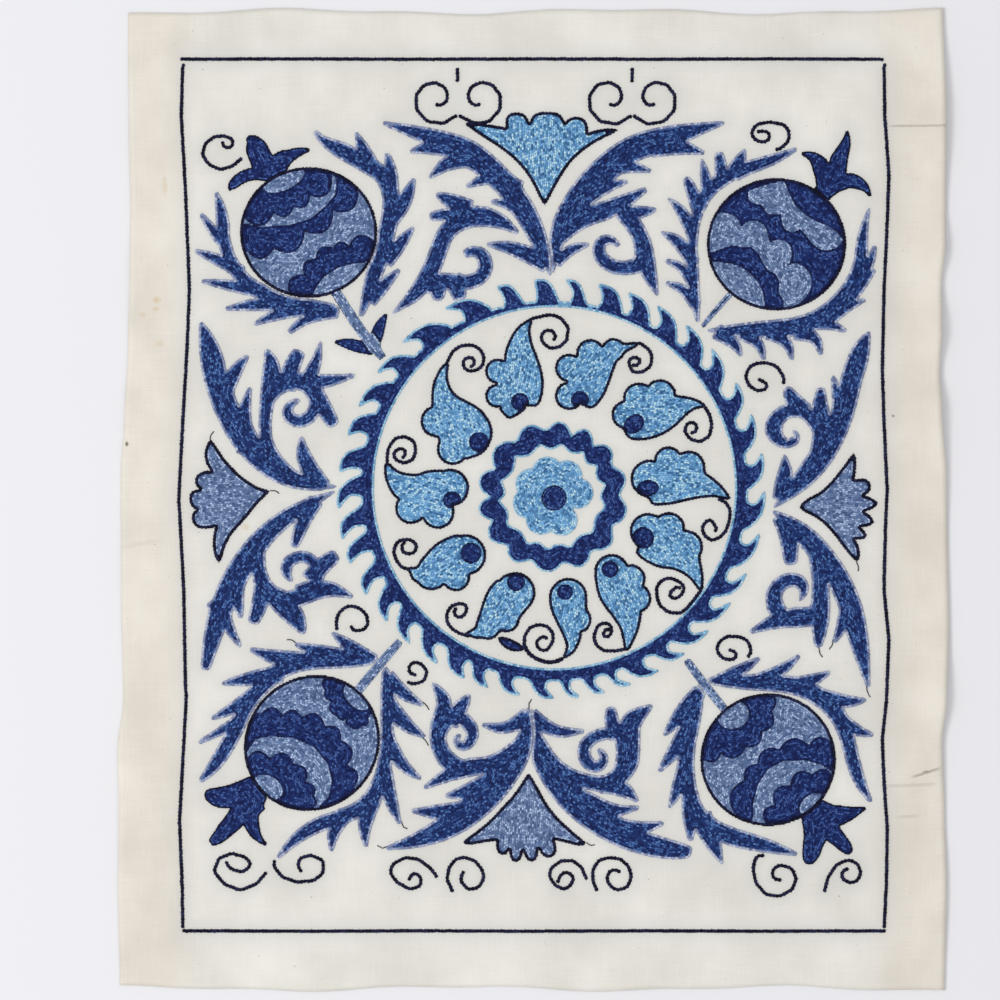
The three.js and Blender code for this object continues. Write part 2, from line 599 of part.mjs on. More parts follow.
// Long leaves spring from four points on the medallion, with scrolled leaves beside them.
addMotif('leaf_top_left', [
  blade(
    [10.5, 137, 1], [5, 155.5, 10], [-6, 178, 13.5], [-22, 198, 14.5], [-41, 213, 16],
    [-63, 221.5, 10.5], [-91.5, 230, 2]
  ),
  blade([-43.5, 213.5, 11], [-60, 215.5, 10], [-75, 212.5, 2]),
  blade([-31, 208.5, 12], [-49.5, 207, 10.5], [-63, 196.5, 2]),
  blade([-8, 189, 11], [-24, 197, 10], [-40.5, 191, 2]),
  blade([0, 169.5, 10], [-11.5, 179.5, 8.5], [-25.5, 182, 2]),
  blade([8.5, 142.5, 8.5], [-8, 152.5, 10.5], [-28, 156, 2]),
], blueSilk);

addMotif('scroll_top_left', [
  blade(
    [-86, 113.5, 0.5], [-67.5, 130, 11], [-58.5, 149, 10.5], [-52.5, 164.5, 11], [-38.5, 173, 13.5],
    [-23, 171.5, 11], [-9, 163, 2]
  ),
  blade([-38.5, 177, 12], [-49.5, 182, 10], [-59, 186.5, 3]),
  lobe([-43.5, 172, 10], [-52.5, 174, 8], [-61, 173, 5.5]),
  lobe([-60.5, 137, 11], [-58, 129.5, 10], [-58, 124.5, 8]),
  lobe([-49.5, 136.5, 11], [-46, 128.5, 10.5], [-45, 124, 8.5]),
  blade(
    [-70, 134, 8.5], [-63, 130.5, 11], [-52.5, 133.5, 10.5], [-41, 132.5, 9], [-31.5, 136, 9],
    [-28.5, 144, 9], [-33.5, 152, 8], [-42, 150, 4.5]
  ),
], blueSilk);

addMotif('leaf_top_right', [
  blade(
    [12, 138.5, 1], [15, 161.5, 11], [25.5, 180, 16], [39.5, 197, 17], [59, 213.5, 16.5],
    [83.5, 221.5, 14], [116.5, 230, 2]
  ),
  blade([71.5, 214.5, 11], [88.5, 215.5, 10], [104.5, 211.5, 2]),
  blade([44, 202.5, 10], [58, 203.5, 8], [72, 200.5, 2]),
  blade([28.5, 181, 10], [42.5, 190.5, 9], [57.5, 194, 2]),
  blade([14, 144, 6], [21.5, 152, 7.5], [34, 156, 2]),
  blade([16.5, 160, 8.5], [30, 171.5, 11], [48, 178, 11.5], [69, 189.5, 3]),
  blade([54.5, 175, 8.5], [65.5, 175.5, 8], [75, 177, 2]),
  blade([54.5, 176.5, 11], [65.5, 161.5, 10], [69, 143.5, 12], [76, 124.5, 1]),
  blade(
    [67.5, 145, 10], [59, 141.5, 9], [48, 142.5, 8.5], [40.5, 149, 8.5], [41, 157, 7.5], [47, 159, 6],
    [52.5, 155, 2]
  ),
], blueSilk);

addMotif('leaf_left_upper', [
  blade(
    [-120, 8, 1], [-141, 10.5, 10], [-160, 20, 13.5], [-175, 36, 16], [-186, 53.5, 15],
    [-193.5, 74.5, 14.5], [-197, 91.5, 13.5], [-202.5, 108.5, 2]
  ),
  blade([-189.5, 64, 11], [-182, 78, 9], [-174, 88, 2]),
  blade([-174, 29.5, 13.5], [-177, 49, 10], [-172.5, 68.5, 2]),
  blade(
    [-149.5, 14.5, 11], [-161.5, 30.5, 8.5], [-163.5, 49, 7.5], [-161, 67, 10], [-159, 80.5, 11.5],
    [-162.5, 92, 2]
  ),
  lobe([-150.5, 67, 11], [-147.5, 80.5, 10.5], [-143.5, 88.5, 8.5]),
  blade([-140.5, 68.5, 10], [-133, 81.5, 8], [-129.5, 96.5, 1]),
  blade([-139, 72, 11], [-125, 72.5, 8], [-109, 76, 2]),
  lobe([-135, 68.5, 11], [-127.5, 56, 10], [-122.5, 47.5, 8]),
  blade(
    [-161.5, 61, 7.5], [-156, 69, 10.5], [-145, 73, 11], [-135.5, 69, 10.5], [-132, 60, 8.5],
    [-135.5, 51, 8], [-144, 47.5, 8], [-150, 52.5, 7.5], [-148, 58, 5], [-142.5, 61, 2]
  ),
  blade([-127, 8, 8.5], [-138.5, 21.5, 12], [-141.5, 38.5, 2]),
], blueSilk);

addMotif('leaf_left_lower', [
  blade(
    [-121, 5, 1], [-141, -4.5, 8.5], [-160.5, -18.5, 11.5], [-174, -35, 14.5], [-186, -56, 14.5],
    [-194.5, -80, 12], [-200, -103.5, 5]
  ),
  blade([-194.5, -61, 11], [-186.5, -76, 7.5], [-178.5, -89.5, 2]),
  blade([-182.5, -44, 12], [-180.5, -60, 8.5], [-178, -72, 2]),
  lobe([-164, -49, 11], [-166.5, -63, 10], [-170, -73, 7.5]),
  blade([-159, -57.5, 12], [-147, -68.5, 14.5], [-139.5, -81.5, 3.5]),
  blade([-143.5, -58.5, 13.5], [-127, -53.5, 11.5], [-110, -59, 2]),
  lobe([-137, -49, 11], [-127.5, -39, 10.5], [-122, -35, 8.5]),
  blade(
    [-165.5, -21.5, 8.5], [-168, -38, 8.5], [-164, -53, 10.5], [-153, -61, 11], [-140.5, -58.5, 11],
    [-132, -50, 8.5], [-132, -39.5, 7.5], [-140.5, -34, 7.5], [-149.5, -38, 7.5], [-150.5, -44.5, 6.5],
    [-146.5, -50, 1]
  ),
  lobe([-132.5, 0, 10], [-140.5, -13.5, 9], [-145, -27, 5.5]),
], blueSilk);

addMotif('leaf_right_upper', [
  blade(
    [147, -4.5, 1], [163, 11, 12], [176.5, 27.5, 14.5], [187.5, 49, 14], [194, 73, 13],
    [200, 91.5, 11.5], [205, 103, 1]
  ),
  blade([187.5, 50, 7.5], [185.5, 62, 6.5], [183, 75.5, 2]),
  lobe([172, 21.5, 11], [176.5, 36.5, 12], [175, 53.5, 11.5], [175.5, 66.5, 5.5]),
  lobe([166, 53.5, 11], [158.5, 61, 10], [155.5, 66.5, 6.5]),
  blade(
    [175, 44, 10], [166.5, 53.5, 9], [155.5, 54.5, 8.5], [147, 47.5, 11], [147.5, 39, 10],
    [155, 34, 6], [161.5, 38, 5], [158.5, 42.5, 1]
  ),
  blade([150, 0, 8.5], [153.5, 13.5, 11], [153.5, 28, 1]),
], blueSilk);

addMotif('leaf_right_lower', [
  blade(
    [146, -6.5, 1], [163, -19, 12], [180, -38, 13.5], [191.5, -59, 14], [198, -82.5, 13],
    [204.5, -114, 2]
  ),
  blade([191.5, -64, 8.5], [189, -75.5, 7.5], [183.5, -87, 2]),
  lobe([168, -21.5, 8.5], [174, -39.5, 9], [175.5, -61, 11], [175, -76, 10.5], [174, -88, 5]),
  blade([172, -71, 12], [152, -72.5, 11], [132.5, -80.5, 2]),
  blade(
    [175.5, -58, 8.5], [170, -71.5, 8], [160, -74.5, 7.5], [149.5, -68.5, 11], [146.5, -57.5, 10],
    [153.5, -49, 9], [162.5, -49.5, 8.5], [165.5, -55.5, 6], [162.5, -61.5, 1]
  ),
  lobe([149.5, -10, 7.5], [156, -23, 11], [157, -36.5, 8.5]),
], blueSilk);

addMotif('leaf_bottom_left', [
  blade(
    [-3, -127, 2], [-5.5, -149.5, 12], [-20, -172, 16], [-39.5, -190.5, 17.5], [-63, -205, 12],
    [-89.5, -212.5, 2]
  ),
  blade([-21.5, -169.5, 12], [-38.5, -177.5, 10.5], [-53.5, -180.5, 2]),
  blade([-38.5, -189, 12], [-56.5, -190.5, 10], [-74, -189.5, 2]),
  blade([-3.5, -130, 7.5], [-15, -139.5, 9], [-31, -137, 2]),
  blade([-6.5, -149, 10], [-23, -160.5, 10], [-43.5, -164, 11], [-66.5, -175.5, 2]),
  blade(
    [-46.5, -163.5, 12], [-56.5, -153.5, 10.5], [-58, -139, 10.5], [-53, -125.5, 11.5],
    [-61, -111.5, 2]
  ),
  blade([-51, -136.5, 11], [-44.5, -127, 10], [-38.5, -118.5, 2]),
  blade(
    [-56, -140.5, 7.5], [-50.5, -133, 10], [-42, -134, 8.5], [-36, -142.5, 8.5], [-41.5, -150.5, 6.5],
    [-47.5, -147.5, 5.5], [-44, -142.5, 1]
  ),
], blueSilk);

addMotif('leaf_bottom_right', [
  blade(
    [-1.5, -127, 2], [3, -151.5, 12], [17.5, -175.5, 17], [38.5, -194, 18.5], [65.5, -209, 14.5],
    [89.5, -214, 10.5], [96.5, -214.5, 6]
  ),
  blade([31.5, -183, 12], [48, -189.5, 8.5], [64.5, -187.5, 2]),
  blade([48, -200, 12], [64, -200.5, 9], [79.5, -197, 2]),
  blade([-1, -130, 7.5], [11.5, -141, 9], [31, -141, 2]),
  blade([2.5, -146.5, 8.5], [15, -165.5, 11], [36, -172.5, 9], [53, -175, 11], [64, -183.5, 2]),
  blade([39.5, -175.5, 8.5], [55.5, -167, 13.5], [58, -151.5, 14.5], [57.5, -138, 16], [72.5, -125, 2]),
  lobe([52, -145, 11], [48, -135.5, 9], [47.5, -128.5, 6.5]),
  blade(
    [48, -142, 7.5], [39, -143.5, 7.5], [31, -150, 8], [32.5, -160, 8.5], [39.5, -163, 7.5],
    [44, -157, 6], [39.5, -152, 2]
  ),
], blueSilk);

// A fan of petals stands between each pair of long leaves.
addMotif('tulip_top', [
  blade(
    [6.5, 181, 1], [2.5, 191.5, 6], [-8, 205.5, 13.5], [-21.5, 218, 11], [-38.5, 228, 3.5],
    [-43.5, 231, 2]
  ),
  blade(
    [7.5, 181, 1], [11.5, 191.5, 6], [21.5, 205.5, 13.5], [33.5, 216.5, 10], [44, 222.5, 5],
    [53, 225, 2]
  ),
  lobe([6.5, 188, 7.5], [-0.5, 207.5, 20.5], [-10, 230.5, 16.5], [-11.5, 240.5, 14.5]),
  lobe([7.5, 188, 7.5], [8, 213.5, 22], [8.5, 238, 19.5], [8.5, 245, 18.5]),
  lobe([8, 188, 7.5], [16.5, 207.5, 20.5], [25, 224.5, 17], [26, 228, 13.5]),
], skySilk);

addMotif('tulip_bottom', [
  blade(
    [-3, -166.5, 1], [-6.5, -177, 8.5], [-16.5, -192, 13.5], [-27.5, -202.5, 8.5], [-44, -208.5, 2]
  ),
  blade([-2, -166.5, 1], [2, -177, 8.5], [11.5, -192, 12], [20, -202.5, 8], [33, -210, 2]),
  blade([-2.5, -167, 2.5], [-3, -189, 28], [-3.5, -211, 36.5]),
  lobe([-13, -201.5, 8.5], [-17.5, -213.5, 8]),
  lobe([-6.5, -202.5, 7.5], [-10.5, -217, 6.5]),
  lobe([-0.5, -202.5, 8.5], [-1, -217, 7.5]),
  lobe([4.5, -202.5, 8.5], [9, -214.5, 8.5]),
], slateSilk);

addMotif('tulip_left', [
  blade([-160.5, 6, 1], [-171.5, 9, 7.5], [-187.5, 18.5, 16], [-196, 25.5, 8], [-197, 37, 2]),
  blade([-161, 5, 1], [-171.5, -2, 8.5], [-183.5, -13.5, 14.5], [-191, -25.5, 6.5], [-191.5, -38.5, 1]),
  blade([-164, 5.5, 5], [-181, 2.5, 27], [-194.5, 0, 34]),
  lobe([-188, 10.5, 11], [-201.5, 12, 11]),
  lobe([-188, 0, 11], [-204.5, 0, 11]),
  lobe([-188, -10.5, 11], [-203, -11.5, 10.5]),
], slateSilk);

addMotif('tulip_right', [
  blade([162.5, -4.5, 1], [172, 0, 8.5], [186, 12, 14.5], [192, 19.5, 7.5], [196, 28.5, 2]),
  blade([163, -5, 1], [172.5, -9, 8.5], [186, -20.5, 12], [193.5, -30, 8.5], [197.5, -38.5, 2]),
  blade([165.5, -4.5, 5], [181, -4.5, 24.5], [194.5, -6, 34]),
  lobe([190.5, 6, 8.5], [202, 8, 10]),
  blade([190.5, -2, 11], [202, -2.5, 8.5], [211, -2.5, 1]),
  blade([190.5, -11.5, 8.5], [200.5, -13, 7.5], [208, -14, 1]),
  blade([188.5, -19.5, 8.5], [197, -22, 7.5], [203.5, -24.5, 1]),
], slateSilk);

// Eleven botehs stand round the rosette, each with scalloped sides and a curled tip.
addMotif('boteh_1', [
  lobe([-6.5, 57.5, 18.5], [-5.5, 67, 24.5], [-6.5, 80.5, 23], [-8.5, 97.5, 14.5], [-1, 111, 1]),
  dot([-21.5, 78.5, 8]),
  dot([-22, 63.5, 7.5]),
  lobe([-8, 61, 13.5], [-15, 55, 12]),
  dot([-16, 71, 5]),
  thread(
    [-2, 110], [4.5, 112], [10.5, 113], [17, 111], [21.5, 105], [20.5, 97.5], [16.5, 93.5], [10, 92.5],
    [5.5, 96.5], [5, 100.5], [8, 103.5], [12, 103], [13.5, 100]
  ),
], skySilk);

addMotif('boteh_2', [
  lobe([27.5, 59, 18.5], [32.5, 68.5, 24.5], [41, 81.5, 18.5], [50.5, 90.5, 8.5], [66, 96, 2]),
  dot([22, 63.5, 9]),
  dot([22, 80.5, 9]),
  dot([35, 89.5, 9]),
  dot([49, 91.5, 7.5]),
  thread(
    [65.5, 95], [70, 92.5], [72.5, 88], [71.5, 81.5], [66.5, 78], [61, 78], [58.5, 82.5], [59, 86],
    [63, 87], [65.5, 85], [63.5, 82.5]
  ),
], skySilk);

addMotif('boteh_3', [
  lobe([54.5, 44, 16], [65.5, 49, 27], [81, 53.5, 23], [93.5, 58.5, 11], [105, 58, 2]),
  dot([56.5, 52, 9]),
  dot([64.5, 62, 10]),
  dot([77.5, 64, 10]),
  thread(
    [103.5, 58], [107.5, 52.5], [109, 46], [107.5, 39], [102, 35.5], [96, 37], [92.5, 42], [94, 46.5],
    [97.5, 47.5], [100, 45], [99, 42]
  ),
], skySilk);

addMotif('boteh_4', [
  lobe([68.5, 6, 20.5], [80.5, 10.5, 28], [96, 10, 20.5], [109, 7.5, 12], [119.5, 1, 2.5]),
  dot([71, 13, 12]),
  dot([82.5, 24, 9]),
  dot([95, 20, 10.5]),
  thread(
    [111.5, 0.5], [117, -1], [120, -5.5], [120, -11.5], [117.5, -19], [113.5, -23], [109, -24.5],
    [105, -22], [103, -17.5], [105, -13.5], [108.5, -12], [111.5, -16.5]
  ),
], skySilk);

addMotif('boteh_5', [
  lobe([66.5, -23, 20.5], [77.5, -28.5, 25.5], [89.5, -33.5, 20.5], [98, -42.5, 12], [102.5, -55, 2.5]),
  dot([70, -19, 11.5]),
  dot([83, -17, 10]),
  dot([93.5, -28.5, 10.5]),
  thread(
    [103, -53.5], [100, -59], [95, -65.5], [89.5, -69], [83, -68.5], [77.5, -64.5], [75.5, -59],
    [75.5, -53], [78.5, -49], [83.5, -47.5], [88.5, -49.5], [92, -52.5], [91.5, -56.5], [88, -60],
    [83.5, -59], [84, -56], [87, -53.5]
  ),
], skySilk);

addMotif('boteh_6', [
  lobe([44.5, -41.5, 16], [50.5, -53.5, 24.5], [55.5, -63.5, 22], [59, -76, 13.5], [57.5, -89, 5]),
  dot([48, -43.5, 11]),
  dot([60, -48, 9]),
  dot([63.5, -60, 9]),
  thread(
    [58.5, -90.5], [50.5, -92], [43.5, -92], [39, -89], [37, -83.5], [39, -77.5], [42.5, -75],
    [47, -76], [48, -80], [46, -83.5], [42.5, -82.5], [44, -79.5]
  ),
], skySilk);

addMotif('boteh_7', [
  lobe([20.5, -56, 22], [22, -66, 23], [23, -78, 13.5], [24.5, -88.5, 8.5], [19, -96, 2]),
  dot([21.5, -59, 12]),
  dot([27.5, -73, 8.5]),
  thread(
    [18.5, -96.5], [11.5, -99.5], [4.5, -98], [-2, -94.5], [-5.5, -89], [-5, -83], [-2, -78], [3, -76],
    [8.5, -77], [12, -81], [12, -86.5], [8.5, -91.5], [4.5, -91.5], [2, -88.5], [3, -85], [6, -83.5]
  ),
  blade([-21.5, -84, 2], [-13.5, -88.5, 7.5], [-5.5, -91, 2]),
], skySilk);

addMotif('boteh_8', [
  lobe([-11.5, -55, 24.5], [-16.5, -62, 27], [-24, -72, 20.5], [-32.5, -80.5, 10], [-40.5, -81.5, 2]),
  dot([-11, -56.5, 13]),
  dot([-16, -73, 8]),
  dot([-27.5, -77.5, 8]),
  thread(
    [-38.5, -83], [-44.5, -81.5], [-49.5, -78.5], [-52.5, -74], [-52.5, -69], [-49.5, -64.5],
    [-44.5, -63], [-40.5, -64.5], [-41, -69], [-44, -71.5], [-47, -71], [-48, -68.5]
  ),
], skySilk);

addMotif('boteh_9', [
  lobe([-39.5, -31.5, 24.5], [-49.5, -36.5, 28], [-60.5, -42.5, 22], [-69, -46, 13.5], [-75, -41.5, 2]),
  dot([-41, -33.5, 13]),
  dot([-47, -47, 9]),
  dot([-62, -45, 10.5]),
  thread(
    [-74.5, -42.5], [-80, -41], [-83.5, -36.5], [-85, -31], [-83, -26], [-78.5, -24], [-74, -24.5],
    [-71, -27.5], [-72, -31.5], [-75.5, -33], [-79.5, -31.5], [-80, -28]
  ),
], skySilk);

addMotif('boteh_10', [
  lobe([-49.5, 6, 23], [-59, 5, 28], [-74, 6, 20.5], [-84, 12, 13.5], [-89.5, 22, 2.5]),
  dot([-50.5, 7.5, 12]),
  dot([-58, -7.5, 10.5]),
  dot([-74.5, -5, 10]),
  thread(
    [-88.5, 20.5], [-89, 28], [-87, 34], [-83, 38], [-77.5, 38.5], [-72.5, 35.5], [-71.5, 30],
    [-73, 25], [-78.5, 22.5], [-83.5, 24.5], [-85, 28], [-82.5, 31], [-78.5, 31], [-78, 28]
  ),
], skySilk);

addMotif('boteh_11', [
  lobe([-38.5, 39, 30.5], [-46, 46.5, 33], [-54.5, 61, 16], [-56.5, 73, 9], [-51, 86, 1]),
  dot([-40.5, 41, 16.5]),
  dot([-59, 48, 10]),
  dot([-49, 31, 10]),
  thread(
    [-53, 82.5], [-51, 87], [-48, 91.5], [-43.5, 94], [-38, 94.5], [-33, 92.5], [-30, 88], [-30.5, 83],
    [-33.5, 79.5], [-38.5, 78.5], [-42, 80.5], [-42.5, 85], [-39.5, 87], [-36, 86], [-36, 83]
  ),
], skySilk);

// Single curls fill the gaps in the field.
addMotif('curl_top_left', [
  thread(
    [-177.5, 208.5], [-183.5, 203.5], [-190.5, 201.5], [-197.5, 204.5], [-201.5, 210.5], [-200, 217],
    [-194.5, 221.5], [-188.5, 222], [-183.5, 220], [-183, 216.5], [-185.5, 214.5], [-189, 216],
    [-190.5, 219.5]
  ),
], navySilk);

addMotif('curl_top_right', [
  thread(
    [147, 212.5], [152.5, 215.5], [156, 219.5], [156, 225], [152.5, 229], [144.5, 230.5], [136.5, 229],
    [133, 224], [135.5, 219.5], [140.5, 218], [144, 220], [144, 223.5], [140.5, 225], [136.5, 224.5]
  ),
], navySilk);

addMotif('curl_right', [
  thread(
    [153.5, 69.5], [152.5, 75.5], [149, 81], [143.5, 83.5], [137, 83.5], [132, 81], [129.5, 75],
    [132, 69.5], [137, 66.5], [142, 67.5], [142.5, 71], [137, 74]
  ),
], navySilk);

addMotif('curl_left_lower', [
  thread(
    [-119.5, -79.5], [-120, -74], [-118.5, -69], [-114.5, -65.5], [-111, -64.5], [-106, -66],
    [-102, -69.5], [-100.5, -74.5], [-102.5, -78.5], [-107, -80], [-111, -78.5], [-111.5, -75.5]
  ),
], navySilk);

addMotif('curl_bottom_left', [
  thread(
    [-78, -111.5], [-72, -112], [-67, -110.5], [-64.5, -105.5], [-66.5, -101.5], [-70, -99],
    [-74, -99.5], [-76, -102.5], [-74.5, -106], [-71, -107]
  ),
], navySilk);

addMotif('curl_right_lower', [
  thread(
    [131, -97.5], [133, -91.5], [131, -86], [126.5, -83.5], [118.5, -83], [113.5, -86.5], [112, -91.5],
    [115.5, -96.5], [121, -97.5], [124.5, -95], [122.5, -92], [119, -91.5]
  ),
], navySilk);

// Open curls stand in a row along both ends of the panel.
addMotif('curl_bottom_1', [
  thread(
    [-162.5, -227], [-168.5, -234], [-178.5, -238], [-188.5, -234], [-194.5, -226.5], [-191.5, -218.5],
    [-183.5, -215.5], [-175, -218], [-172, -222.5], [-177, -227], [-184, -225], [-188.5, -220]
  ),
], navySilk);

addMotif('curl_bottom_2', [
  thread(
    [-158.5, -218.5], [-157.5, -224.5], [-152.5, -230], [-144, -233], [-133.5, -232], [-128, -227.5],
    [-128, -220], [-135.5, -216.5], [-142, -218.5], [-143.5, -222.5], [-141, -227]
  ),
], navySilk);

addMotif('curl_bottom_3', [
  thread(
    [-57.5, -231], [-63, -224], [-70, -219], [-78, -218], [-85.5, -222], [-87, -227.5], [-83, -233],
    [-75, -237.5], [-68.5, -235], [-68.5, -229.5], [-73, -227.5], [-76, -232]
  ),
], navySilk);

addMotif('curl_bottom_4', [
  thread(
    [-49, -239], [-52.5, -231], [-51, -224], [-47, -219], [-41.5, -218], [-35.5, -220], [-31, -225.5],
    [-30, -231], [-33.5, -236.5], [-39.5, -237.5], [-44, -232.5], [-42.5, -225]
  ),
], navySilk);

addMotif('curl_bottom_5', [
  thread(
    [34, -232], [31, -228], [30, -224.5], [24.5, -220], [17.5, -220], [11, -224.5], [10, -229.5],
    [13.5, -235], [19.5, -237.5], [24, -233.5], [24.5, -229.5], [20, -226.5], [16.5, -229],
    [15, -233.5]
  ),
], navySilk);

addMotif('curl_bottom_6', [
  thread(
    [39, -238.5], [36.5, -232], [36.5, -225], [40.5, -219.5], [47, -218], [53.5, -219], [58.5, -224],
    [60, -230], [57.5, -236], [51, -238], [46, -234], [45, -229.5], [48, -225.5], [54.5, -226.5]
  ),
], navySilk);

addMotif('curl_bottom_7', [
  thread(
    [142, -215.5], [136, -218], [134, -224.5], [136, -233.5], [142, -240.5], [150.5, -241.5],
    [158, -237.5], [160.5, -230.5], [157.5, -224.5], [150.5, -222.5], [146, -225.5], [146.5, -230.5],
    [151.5, -232]
  ),
], navySilk);

addMotif('curl_bottom_8', [
  thread(
    [177.5, -239], [180, -230], [185, -222.5], [192, -219.5], [197.5, -221.5], [200, -227],
    [197.5, -232.5], [193, -233.5], [188.5, -230.5], [188.5, -227], [193, -223.5]
  ),
], navySilk);

addMotif('horns_top_left', [
  blade([-46, 252.5, 2.5], [-46, 258, 2.5], [-46, 263.5, 2.5]),
  curl({ centre: [-59, 244.5], start: [-46, 256], turn: -500, inner: 3 }),
  curl({ centre: [-32.5, 244.5], start: [-46, 256], turn: 500, inner: 3 }),
], navySilk);

addMotif('horns_top_right', [
  blade([60.5, 252.5, 2.5], [60.5, 258, 2.5], [60.5, 263.5, 2.5]),
  curl({ centre: [47, 244.5], start: [60.5, 256], turn: -500, inner: 3 }),
  curl({ centre: [74, 244.5], start: [60.5, 256], turn: 500, inner: 3 }),
], navySilk);

export default suzani;
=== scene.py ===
import math

import bpy
import numpy as np
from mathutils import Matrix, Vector


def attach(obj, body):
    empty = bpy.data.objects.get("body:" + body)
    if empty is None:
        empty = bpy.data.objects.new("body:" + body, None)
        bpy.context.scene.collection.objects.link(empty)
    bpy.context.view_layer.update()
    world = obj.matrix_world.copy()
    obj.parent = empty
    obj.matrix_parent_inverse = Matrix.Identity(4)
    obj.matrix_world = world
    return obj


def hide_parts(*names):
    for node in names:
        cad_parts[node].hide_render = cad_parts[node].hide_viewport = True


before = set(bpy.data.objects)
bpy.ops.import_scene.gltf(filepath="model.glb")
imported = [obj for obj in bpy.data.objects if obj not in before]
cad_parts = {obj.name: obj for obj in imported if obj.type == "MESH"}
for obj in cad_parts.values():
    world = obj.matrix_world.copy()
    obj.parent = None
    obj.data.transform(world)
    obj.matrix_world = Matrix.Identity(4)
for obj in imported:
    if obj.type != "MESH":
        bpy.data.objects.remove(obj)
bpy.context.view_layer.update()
rng = np.random.default_rng(11)

# Places on the cloth are read off a plan with a grid of 0.61 mm, counted from its top left corner.
planStep = 0.61
planMiddle = (533, 500)


def plan(*places):
    return (np.array(places) - planMiddle) * (planStep, -planStep)


def rgb(red, green, blue):
    shares = (red / 255, green / 255, blue / 255)
    linear = [c / 12.92 if c <= 0.04045 else ((c + 0.055) / 1.055) ** 2.4 for c in shares]
    return (*linear, 1)


# Shader sums

bumpRelief = 0.0002  # metres


def shaderSum(operation, turned=False):
    def made(field, other):
        first, second = (other, field) if turned else (field, other)
        return field.shader.node("Math", {"operation": operation}, {0: first, 1: second})
    return made


class Field:
    def __init__(self, shader, socket):
        self.shader = shader
        self.socket = socket

    __add__ = __radd__ = shaderSum("ADD")
    __mul__ = __rmul__ = shaderSum("MULTIPLY")
    __sub__, __rsub__ = shaderSum("SUBTRACT"), shaderSum("SUBTRACT", True)
    __truediv__, __pow__ = shaderSum("DIVIDE"), shaderSum("POWER")


class Shader:
    def __init__(self, name, settings):
        self.material = bpy.data.materials.new(name)
        self.material.use_nodes = True
        self.tree = self.material.node_tree
        self.surface = self.tree.nodes["Principled BSDF"]
        for socket, value in settings.items():
            self.surface.inputs[socket].default_value = value

    def node(self, kind, settings, sockets, output=0):
        made = self.tree.nodes.new("ShaderNode" + kind)
        for key, value in settings.items():
            if key == "stops":
                ramp = made.color_ramp.elements
                while len(ramp) < len(value):
                    ramp.new(0.5)
                for stop, (place, colour) in zip(ramp, value):
                    stop.position, stop.color = place, colour
            else:
                setattr(made, key, value)
        for key, value in sockets.items():
            self.feed(made.inputs[key], value)
        return Field(self, made.outputs[output])

    def feed(self, socket, value):
        if isinstance(value, Field):
            self.tree.links.new(value.socket, socket)
        else:
            socket.default_value = value

    def mix(self, share, first, second, how="MIX"):
        settings = {"data_type": "RGBA", "blend_type": how}
        return self.node("Mix", settings, {0: share, 6: first, 7: second}, 2)

    def noise(self, where, scale, detail=2.0, roughness=0.5):
        return self.node("TexNoise", {}, {
            "Vector": where, "Scale": scale, "Detail": detail, "Roughness": roughness,
        })

    def between(self, value, low, high):
        return self.node("MapRange", {"interpolation_type": "SMOOTHSTEP"}, {0: value, 1: low, 2: high})

    def stretched(self, where, scale):
        return self.node("VectorMath", {"operation": "MULTIPLY"}, {0: where, 1: scale})

    def millimetres(self):
        place = self.node("TexCoord", {}, {}, 3)
        return self.stretched(place, (1000, 1000, 1000))

    def finish(self, colour, roughness, height):
        self.feed(self.surface.inputs["Base Color"], colour)
        self.feed(self.surface.inputs["Roughness"], roughness)
        bump = self.node("Bump", {}, {"Height": height, "Distance": bumpRelief})
        self.feed(self.surface.inputs["Normal"], bump)
        return self.material


# Silk, one finish for each dye

silks = {
    "navy": {"dark": (8, 8, 24), "middle": (19, 19, 46), "light": (44, 46, 84), "gloss": 0.08},
    "deepBlue": {"dark": (10, 14, 50), "middle": (18, 30, 84), "light": (42, 62, 128), "gloss": 0.12},
    "indigo": {"dark": (8, 20, 76), "middle": (29, 54, 122), "light": (80, 112, 182), "gloss": 0.14},
    "blue": {"dark": (8, 24, 78), "middle": (32, 62, 130), "light": (96, 138, 204), "gloss": 0.16},
    "slate": {"dark": (66, 90, 138), "middle": (121, 145, 189), "light": (196, 216, 250), "gloss": 0.25},
    "lilac": {"dark": (84, 96, 140), "middle": (150, 162, 198), "light": (220, 226, 244), "gloss": 0.25},
    "sky": {"dark": (44, 100, 152), "middle": (128, 190, 240), "light": (214, 248, 255), "gloss": 0.25},
    "paleSky": {"dark": (74, 132, 182), "middle": (146, 200, 232), "light": (214, 240, 252), "gloss": 0.25},
}


silkFinish = {
    "strandScale": 2.6, "patchScale": 0.09, "toneShare": 0.92, "strandShare": 0.3, "patchShare": 0.24,
    "darker": 0.22, "groove": 0.7, "roughness": 0.42, "roughnessSpread": 0.2,
}


